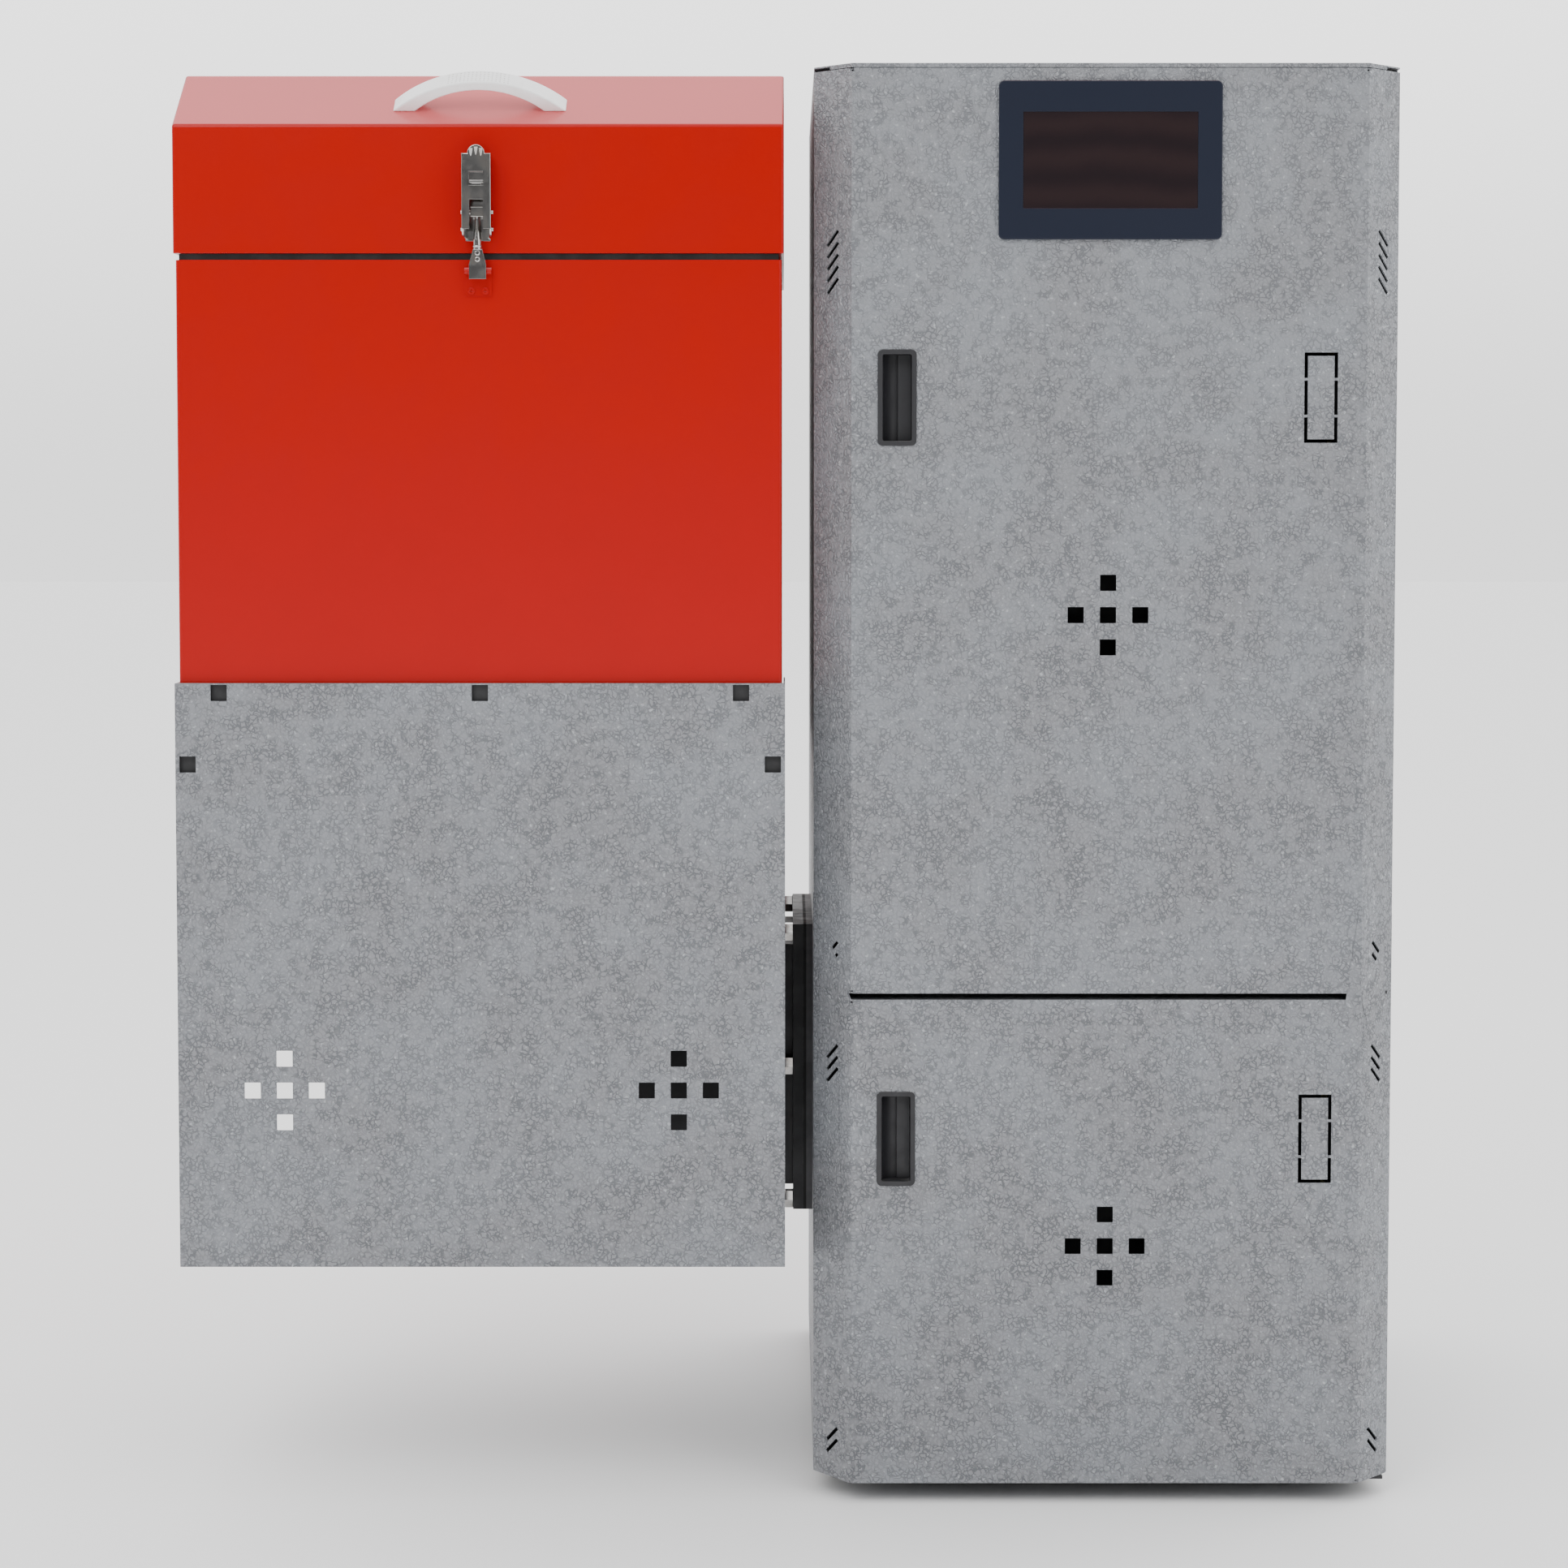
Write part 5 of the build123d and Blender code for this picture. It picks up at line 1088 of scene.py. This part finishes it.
@dataclass
class DoorSet(Assembly):
    """Both outer doors with their pulls and the display."""

    fold: Round = Round(2.2 * MM, 4)
    chamfer: float = 34.5 * MM
    pull_rim: Round = Round(0.8 * MM, 4)
    pull_lip: float = 4.5 * MM
    pull_depth: float = 19.5 * MM
    scoop_share: float = 0.54
    scoop_stand: float = 15.0 * MM
    scoop_bite: float = 0.97
    scoop_smooth: float = 40.0
    ledge_stand: float = 5.0 * MM
    ledge_edge: Round = Round(0.5 * MM, 2)
    bezel_edge: Round = Round(0.4 * MM, 3)
    glass_edge: Round = Round(0.25 * MM, 2)

    def build(self) -> None:
        """Builds both doors, their pulls and the display."""
        for level in ("upper", "lower"):
            self._front(f"{level}_door_skin", f"{level}_door_front", f"{level}_door")
        for level in ("upper", "lower"):
            self._pull(f"{level}_pull_cup", f"{level}_pull", f"{level}_door")
        self.refine("display_bezel", "display_frame", "bezel_plastic", self.bezel_edge, "upper_door")
        self.refine("display_screen", "display_glass", "screen_glass", self.glass_edge, "upper_door")

    def _pull(self, node: str, name: str, body: str) -> None:
        """Finger pull: rounded rim, a hollowed scoop on the left and a flat ledge on the right.

        Args:
            node: The CAD node of the cup.
            name: Name of the new piece.
            body: The door's body.
        """
        low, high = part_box(node)
        cup = Bench.copy_of(node, name)
        Bench.soften(cup, self.pull_rim)
        left, right = low.x + self.pull_lip, high.x - self.pull_lip
        bottom, top = low.z + self.pull_lip, high.z - self.pull_lip
        floor = low.y + self.pull_depth
        crest = floor - self.scoop_stand
        split = left + self.scoop_share * (right - left)
        scoop = Bench.block(name + " scoop", (left, crest, bottom), (split, floor, top))

        def is_crest(edge: object) -> bool:
            """Finds the upright edge at the scoop's crest, beside the ledge."""
            return along(edge, 2) and all(near(v.co.x, split) and near(v.co.y, crest) for v in edge.verts)

        Bench.hollow(scoop, self.scoop_bite * min(self.scoop_stand, split - left), is_crest)
        Bench.shade(scoop, self.scoop_smooth)
        ledge = Bench.block(name + " ledge", (split, floor - self.ledge_stand, bottom), (right, floor, top))
        Bench.soften(ledge, self.ledge_edge)
        self.hand_over(Bench.join([cup, scoop, ledge], name), "black_plastic", (node,), body)

    def _front(self, node: str, name: str, body: str) -> None:
        """Rounds a door's upright creases and keeps its lower rim level.

        Args:
            node: The CAD node of the skin.
            name: Name of the new piece.
            body: The door's body.
        """
        low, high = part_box(node)
        piece = Bench.copy_of(node, name, 0.0)
        creases = (low.x + self.chamfer, high.x - self.chamfer)
        shoulder = low.y + self.chamfer

        def is_crease(edge: object) -> bool:
            """Finds the upright folds between the front, a chamfer and a return.

            Args:
                edge: The mesh edge.

            Returns:
                True for such a fold.
            """
            x, y = edge.verts[0].co.x, edge.verts[0].co.y
            front = near(y, low.y) and near(x, *creases)
            side = near(y, shoulder) and near(x, low.x, high.x)
            return along(edge, 2) and (front or side)

        Bench.round_edges(piece, self.fold, is_crease)
        Bench.squeeze(piece, (1.0, 1.0, 0.0), (0.0, 0.0, low.z), lambda vert: vert.co.z < low.z)
        Bench.shade(piece)
        self.hand_over(piece, "hammered_silver", (node,), body)


@dataclass
class Casing(Assembly):
    """Casing panels and the boiler's outside fittings."""

    sheet_edge: Round = Round(0.4 * MM)
    pipe_edge: Round = Round(0.8 * MM, 3)
    valve_edge: Round = Round(0.6 * MM, 3)

    def build(self) -> None:
        """Refines the panels, the collar, the pipes and the drain."""
        for place in ("left", "right", "top", "rear"):
            self.refine(f"{place}_casing_panel", f"{place}_cladding", "hammered_silver", self.sheet_edge)
        self.refine("flue_collar", "flue_outlet_ring", "black_paint", self.pipe_edge)
        for name in ("supply", "return"):
            self.refine(f"{name}_pipe", f"{name}_stub", "zinc_steel", self.pipe_edge)
        self.refine("drain_valve", "drain_cock", "brass_fitting", self.valve_edge)


@dataclass
class Hopper(Assembly):
    """Hopper walls, skirt and the latch's keeper."""

    fold: Round = Round(3.0 * MM, 4)
    wall_edge: Round = Round(0.35 * MM, 1, 50.0)
    skirt_edge: Round = Round(0.45 * MM, 2)
    keeper_edge: Round = Round(0.35 * MM, 3)
    screw_edge: Round = Round(0.3 * MM, 3)

    def build(self) -> None:
        """Builds the walls and refines the other parts."""
        self._walls()
        self.refine("hopper_skirt", "skirt_cover", "hammered_silver", self.skirt_edge)
        self.refine("latch_keeper", "keeper", "red_gloss", self.keeper_edge)
        self.refine("keeper_screws", "keeper_screw_pair", "red_gloss", self.screw_edge)

    def _walls(self) -> None:
        """Hopper box with rounded corners and a rolled top edge."""
        low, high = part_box("hopper_body")
        piece = Bench.copy_of("hopper_body", "hopper_walls")

        def is_corner(edge: object) -> bool:
            """Finds the outer upright corners."""
            place = edge.verts[0].co
            return along(edge, 2) and near(place.x, low.x, high.x) and near(place.y, low.y, high.y)

        def is_top(edge: object) -> bool:
            """Finds the outer top folds.

            Args:
                edge: The mesh edge.

            Returns:
                True for such a fold.
            """
            first, second = edge.verts[0].co, edge.verts[1].co
            side = near(first.x, low.x, high.x) and near(second.x, first.x)
            front = near(first.y, low.y, high.y) and near(second.y, first.y)
            return near(first.z, high.z) and near(second.z, high.z) and (side or front)

        Bench.round_edges(piece, self.fold, is_corner)
        Bench.round_edges(piece, self.fold, is_top)
        Bench.soften(piece, self.wall_edge)
        self.hand_over(piece, "red_gloss", ("hopper_body",))


@dataclass
class Lid(Assembly):
    """Hopper lid with its arched, dotted grip."""

    body: str = "lid"
    fold: Round = Round(2.6 * MM, 4)
    sheet_edge: Round = Round(0.3 * MM, 1, 50.0)
    fold_cosine: float = 0.95
    outward_reach: float = 0.02
    least_area: float = 2e-3
    grip_edge: Round = Round(2.6 * MM, 4, 50.0)
    hinge_edge: Round = Round(0.5 * MM)
    slope_depth: float = 75.0 * MM
    slope_rise: float = 54.5 * MM
    grip_rise: float = 31.0 * MM
    grip_width: float = 22.0 * MM
    dot_radius: float = 0.55 * MM
    dot_stand: float = 0.12 * MM
    dot_sides: int = 6
    dot_rows: int = 5
    dot_columns: int = 16
    dot_pitch: float = 3.7 * MM

    def build(self) -> None:
        """Builds the lid shell, the grip and its dots."""
        self._shell()
        self._grip()
        self._dots()
        self.refine("lid_hinge_leaves", "lid_hinge_plates", "black_paint", self.hinge_edge)

    def _shell(self) -> None:
        """Lid sheet with wide soft folds."""
        low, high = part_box("lid_panel")
        middle = (low + high) / 2
        piece = Bench.copy_of("lid_panel", "lid_shell")

        def faces_out(face: object) -> bool:
            """Finds the wide faces that look away from the lid's middle."""
            reach = face.normal.dot(face.calc_center_median() - middle)
            return reach > self.outward_reach and face.calc_area() > self.least_area

        def is_fold(edge: object) -> bool:
            """Finds the folds between two outer faces, the lower rim left out.

            Args:
                edge: The mesh edge.

            Returns:
                True for such a fold.
            """
            if all(near(vert.co.z, low.z) for vert in edge.verts) or len(edge.link_faces) != 2:
                return False
            one, two = edge.link_faces
            return faces_out(one) and faces_out(two) and one.normal.dot(two.normal) < self.fold_cosine

        Bench.round_edges(piece, self.fold, is_fold)
        Bench.soften(piece, self.sheet_edge)
        self.hand_over(piece, "red_gloss", ("lid_panel",))

    def _grip(self) -> None:
        """Arched grip with rounded edges."""
        piece = Bench.copy_of("lid_handle", "lid_grip")
        Bench.soften(piece, self.grip_edge)
        self.hand_over(piece, "handle_metal", ("lid_handle",))

    def _dots(self) -> None:
        """Rows of small studs over the crown of the grip's arch."""
        low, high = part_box("lid_handle")
        slope = math.atan2(self.slope_rise, self.slope_depth)
        outward = Vector((0.0, -math.sin(slope), math.cos(slope)))
        downhill = Vector((0.0, -math.cos(slope), -math.sin(slope)))
        half = self.grip_width / 2
        middle = (low.x + high.x) / 2
        foot = Vector((middle, high.y - half * math.cos(slope), low.z + half * math.sin(slope)))
        span = (high.x - low.x) / 2
        radius = (span ** 2 + self.grip_rise ** 2) / (2 * self.grip_rise)
        dots = []
        for column in range(self.dot_columns):
            turn = math.asin((column - (self.dot_columns - 1) / 2) * self.dot_pitch / radius)
            normal = Vector((math.sin(turn), 0.0, 0.0)) + outward * math.cos(turn)
            crown = foot + outward * (self.grip_rise - radius) + normal * (radius + self.dot_stand / 2)
            for row in range(self.dot_rows):
                place = crown + downhill * ((row - (self.dot_rows - 1) / 2) * self.dot_pitch)
                name = f"dot {column} {row}"
                dots.append(
                    Bench.disc(name, place, normal, self.dot_radius, self.dot_stand * 2, self.dot_sides)
                )
        studs = Bench.join(dots, "lid_grip_dots")
        Bench.shade(studs)
        self.hand_over(studs, "zinc_steel")


@dataclass(frozen=True)
class Bar:
    """How far a small block reaches from its place, in metres."""

    left: float
    right: float
    front: float
    back: float
    bottom: float
    top: float


@dataclass
class Latch(Assembly):
    """Toggle latch between lid and hopper."""

    body: str = "lid"
    plate_edge: Round = Round(0.25 * MM)
    rim: Round = Round(1.0 * MM, 4)
    lever_edge: Round = Round(0.25 * MM, 2, 50.0)
    bar_edge: Round = Round(0.5 * MM, 3)
    foot_radius: float = 6.75 * MM
    tip_share: float = 1.3
    window_rise: float = 44.0 * MM
    window_bar: Bar = Bar(-6.6 * MM, 6.6 * MM, 1.0 * MM, 3.2 * MM, -1.6 * MM, 0.6 * MM)
    window_tab: Bar = Bar(-4.0 * MM, 5.0 * MM, 1.2 * MM, 2.6 * MM, -6.2 * MM, -2.2 * MM)
    window_plate: Bar = Bar(-7.4 * MM, 7.4 * MM, 4.4 * MM, 5.6 * MM, -8.0 * MM, 9.0 * MM)
    flute_length: float = 19.0 * MM
    flute_radius: float = 2.4 * MM
    flute_spread: float = 4.6 * MM
    flute_sink: float = 1.6 * MM
    flute_drop: float = 2.2 * MM
    flute_step: float = 1.2 * MM
    flute_taper: float = 0.15
    flute_sides: int = 16
    flute_smooth: float = 60.0
    rod_edge: Round = Round(0.3 * MM, 3)
    pin_radius: float = 2.0 * MM
    rod_depth: float = 4.0 * MM
    trunnion: Bar = Bar(-5.9 * MM, 5.9 * MM, -3.4 * MM, 3.4 * MM, -4.2 * MM, 4.8 * MM)
    neck_drop: float = 15.0 * MM
    neck_radius: float = 3.3 * MM
    neck_length: float = 21.0 * MM
    neck_taper: float = 0.55
    neck_edge: Round = Round(0.4 * MM, 2)
    ring_drop: float = 31.5 * MM
    ring_radius: float = 4.7 * MM
    ring_height: float = 2.2 * MM
    ring_edge: Round = Round(0.9 * MM, 3)
    rivet_drops: tuple[float, float] = (37.2 * MM, 43.0 * MM)
    rivet_radius: float = 2.5 * MM
    rivet_depth: float = 5.2 * MM
    rivet_length: float = 2.6 * MM
    rivet_edge: Round = Round(1.0 * MM, 4)
    round_sides: int = 20
    ring_sides: int = 24

    def build(self) -> None:
        """Builds the base, the lever and the draw rod."""
        self.refine("latch_base", "latch_plate", "zinc_steel", self.plate_edge)
        self._lever()
        self._rod()

    def _bar(self, name: str, place: Vector, size: Bar) -> bpy.types.Object:
        """A small block with round edges.

        Args:
            name: Name of the piece.
            place: What its size is measured from.
            size: Its reach on each side.

        Returns:
            The piece.
        """
        low = place + Vector((size.left, size.front, size.bottom))
        high = place + Vector((size.right, size.back, size.top))
        bar = Bench.block(name, low, high)
        Bench.soften(bar, self.bar_edge)
        return bar

    def _lever(self) -> None:
        """Lever with rolled rims, tapering thumb flutes and a bar across its window."""
        low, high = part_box("latch_lever")
        middle = (low.x + high.x) / 2
        piece = Bench.copy_of("latch_lever", "latch_handle")

        def is_rim(edge: object) -> bool:
            """Finds the outline of the web's outer face, its slot and window left alone.

            Args:
                edge: The mesh edge.

            Returns:
                True for an edge of the outline.
            """
            if not all(near(vert.co.y, low.y) for vert in edge.verts):
                return False
            place = (edge.verts[0].co + edge.verts[1].co) / 2
            return near(place.x, low.x, high.x) or place.z > high.z - self.tip_share * self.foot_radius

        Bench.round_edges(piece, self.rim, is_rim)
        Bench.soften(piece, self.lever_edge)
        parts = [piece]
        for side in (-1, 0, 1):
            drop = self.flute_drop + abs(side) * self.flute_step
            crest = Vector((middle + side * self.flute_spread, low.y + self.flute_sink, high.z - drop))
            parts.append(self._flute(f"flute {side}", crest))
        window = Vector((middle, low.y, low.z + self.foot_radius + self.window_rise))
        parts.append(self._bar("window bar", window, self.window_bar))
        parts.append(self._bar("window tab", window, self.window_tab))
        parts.append(self._bar("window plate", window, self.window_plate))
        self.hand_over(Bench.join(parts, "latch_handle"), "zinc_steel", ("latch_lever",), "lever")

    def _flute(self, name: str, crest: Vector) -> bpy.types.Object:
        """One thumb flute: a slim wedge that narrows downwards, half sunk in the web.

        Args:
            name: Name of the piece.
            crest: Its upper end.

        Returns:
            The piece.
        """
        base = crest - Vector((0, 0, self.flute_length / 2))
        wedge = Bench.disc(name, base, (0, 0, 1), self.flute_radius, self.flute_length, self.flute_sides)
        scale = (self.flute_taper, self.flute_taper, 1.0)
        Bench.squeeze(wedge, scale, tuple(base), lambda vert: vert.co.z < base.z)
        Bench.shade(wedge, self.flute_smooth)
        return wedge

    def _turned(self, name: str, middle: Vector, axis: tuple, size: tuple, shape: Round) -> bpy.types.Object:
        """A short turned piece with round edges.

        Args:
            name: Name of the piece.
            middle: Its middle.
            axis: Direction of its axis.
            size: Radius, length and faces round it.
            shape: How its edges are rounded.

        Returns:
            The piece.
        """
        piece = Bench.disc(name, middle, axis, *size)
        Bench.soften(piece, shape)
        return piece

    def _rod(self) -> None:
        """Draw rod with its trunnion block, tapered neck, ferrule ring and two rivets."""
        low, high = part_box("latch_rod")
        pivot = Vector(((low.x + high.x) / 2, low.y + self.rod_depth, high.z - self.pin_radius))
        rod = Bench.copy_of("latch_rod", "latch_drawbar")
        Bench.soften(rod, self.rod_edge)
        parts = [rod, self._bar("trunnion", pivot, self.trunnion)]
        waist = pivot - Vector((0, 0, self.neck_drop))
        neck = Bench.disc("neck", waist, (0, 0, 1), self.neck_radius, self.neck_length, self.round_sides)
        scale = (self.neck_taper, self.neck_taper, 1.0)
        Bench.squeeze(neck, scale, tuple(pivot), lambda vert: vert.co.z > waist.z)
        Bench.soften(neck, self.neck_edge)
        parts.append(neck)
        ring = pivot - Vector((0, 0, self.ring_drop))
        size = (self.ring_radius, self.ring_height, self.ring_sides)
        parts.append(self._turned("ring", ring, (0, 0, 1), size, self.ring_edge))
        size = (self.rivet_radius, self.rivet_length, self.round_sides)
        for drop in self.rivet_drops:
            place = Vector((pivot.x, low.y + self.rivet_depth, pivot.z - drop))
            parts.append(self._turned("rivet", place, (0, 1, 0), size, self.rivet_edge))
        self.hand_over(Bench.join(parts, "latch_drawbar"), "zinc_steel", ("latch_rod",), "draw_rod")


@dataclass
class Feeder(Assembly):
    """Feeder parts under and beside the hopper."""

    pieces: tuple[tuple[str, str, str, Round], ...] = (
        ("feeder_flange", "feeder_plate", "black_paint", Round(0.8 * MM)),
        ("flange_studs", "flange_nuts", "zinc_steel", Round(0.6 * MM)),
        ("air_box", "air_mixer", "black_paint", Round(1.0 * MM, 3)),
        ("gearbox", "gear_case", "black_paint", Round(2.0 * MM, 3)),
        ("gear_motor", "motor_ribs", "black_paint", Round(0.8 * MM)),
        ("fan_housing", "fan_case", "black_paint", Round(1.2 * MM, 3)),
        ("fan_motor", "fan_drive", "black_plastic", Round(1.0 * MM, 3)),
    )

    def build(self) -> None:
        """Refines the boxes, plates and drives."""
        for node, name, slot, shape in self.pieces:
            self.refine(node, name, slot, shape)


# ---------------------------------------------------------------- studio
@dataclass(frozen=True)
class Lamp:
    """A square soft lamp: place and size in metres, power in watts."""

    name: str
    place: tuple[float, float, float]
    size: float
    power: float


@dataclass
class Studio:
    """Floor, light and camera."""

    distance: float = 2.998
    lens: float = 74.5
    sensor: float = 36.0
    clip: tuple[float, float] = (0.05, 100.0)
    height: float = 0.956
    pitch: float = 3.0
    aside: float = -0.0035
    shift_y: float = -0.08
    floor_size: float = 60.0
    floor_color: Color = (0.90, 0.90, 0.90)
    floor_roughness: float = 0.9
    front_light: float = 0.12
    horizon_light: float = 1.7
    back_light: float = 2.5
    behind: Band = Band(-0.75, 0.35)
    above: Band = Band(0.15, 0.8, 0.0, 0.75)
    rising: Band = Band(-0.01, 0.16)
    aim_share: float = 0.55
    lamps: tuple[Lamp, ...] = (
        Lamp("key", (-1.7, -3.0, 3.3), 2.4, 58.0),
        Lamp("fill", (2.7, -2.7, 2.4), 2.2, 34.0),
    )

    def build(self) -> None:
        """Sets the stage round the object."""
        low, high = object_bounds()
        self._floor()
        self._world()
        self._light(low, high)
        self._camera(low)

    def _floor(self) -> None:
        """A wide pale floor."""
        Bench.clear()
        bpy.ops.mesh.primitive_plane_add(size=self.floor_size, location=(0, 0, 0))
        floor = bpy.context.active_object
        floor.name = "studio_floor"
        material = bpy.data.materials.new("studio floor")
        material.use_nodes = True
        shader = material.node_tree.nodes["Principled BSDF"]
        Wires(material.node_tree).feed(
            shader, Base_Color=opaque(self.floor_color), Roughness=self.floor_roughness
        )
        floor.data.materials.append(material)
        floor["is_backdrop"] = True

    def _world(self) -> None:
        """Bright surroundings behind and above, dimmer towards the front."""
        world = bpy.data.worlds.new("studio")
        bpy.context.scene.world = world
        world.use_nodes = True
        background = world.node_tree.nodes["Background"]
        wires = Wires(world.node_tree)
        ways = wires.axes(wires.add("ShaderNodeTexCoord").outputs["Generated"])
        front, horizon, back = (
            opaque((level,) * 3) for level in (self.front_light, self.horizon_light, self.back_light)
        )
        sky = wires.blend(wires.span(ways["Z"], self.rising), horizon, back)
        share = wires.maths("MAXIMUM", wires.span(ways["Y"], self.behind), wires.span(ways["Z"], self.above))
        wires.feed(background, Color=wires.blend(share, front, sky), Strength=1.0)

    def _light(self, low: Vector, high: Vector) -> None:
        """Large soft lamps from both front sides.

        Args:
            low: Lowest corner of the object.
            high: Its highest corner.
        """
        aim = Vector(((low.x + high.x) / 2, (low.y + high.y) / 2, high.z * self.aim_share))
        for lamp in self.lamps:
            light = bpy.data.lights.new(lamp.name, "AREA")
            light.shape = "SQUARE"
            light.size = lamp.size
            light.energy = lamp.power
            holder = bpy.data.objects.new(lamp.name, light)
            bpy.context.scene.collection.objects.link(holder)
            holder.location = lamp.place
            holder.rotation_euler = (aim - Vector(lamp.place)).to_track_quat("-Z", "Y").to_euler()

    def _camera(self, low: Vector) -> None:
        """A long lens from the front, a little above the middle.

        Args:
            low: Lowest corner of the object, which its distance is measured from.
        """
        camera = bpy.data.cameras.new("front camera")
        camera.lens = self.lens
        camera.sensor_width = self.sensor
        camera.shift_y = self.shift_y
        camera.clip_start, camera.clip_end = self.clip
        holder = bpy.data.objects.new("front camera", camera)
        bpy.context.scene.collection.objects.link(holder)
        holder.location = (self.aside, low.y - self.distance, self.height)
        holder.rotation_euler = (math.radians(90.0 - self.pitch), 0.0, 0.0)
        bpy.context.scene.camera = holder


def dress_cad_nodes(palette: Palette) -> None:
    """Gives every CAD node that stays in view the material of its slot.

    Args:
        palette: The materials.
    """
    for entry in frame["record"]["subparts"]:
        node = frame["nodes"][entry["node"]]
        if not node.hide_render:
            palette.dress(node, entry["material_slot"])


def main() -> None:
    """Builds the looks round the frame in order."""
    logging.basicConfig(level=logging.INFO, format="%(message)s")
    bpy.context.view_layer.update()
    palette = Palette()
    for kind in (DoorSet, Casing, Hopper, Lid, Latch, Feeder):
        kind(palette).build()
        log.info("built %s", kind.__name__)
    dress_cad_nodes(palette)
    Studio().build()


if __name__ == "__main__":
    main()
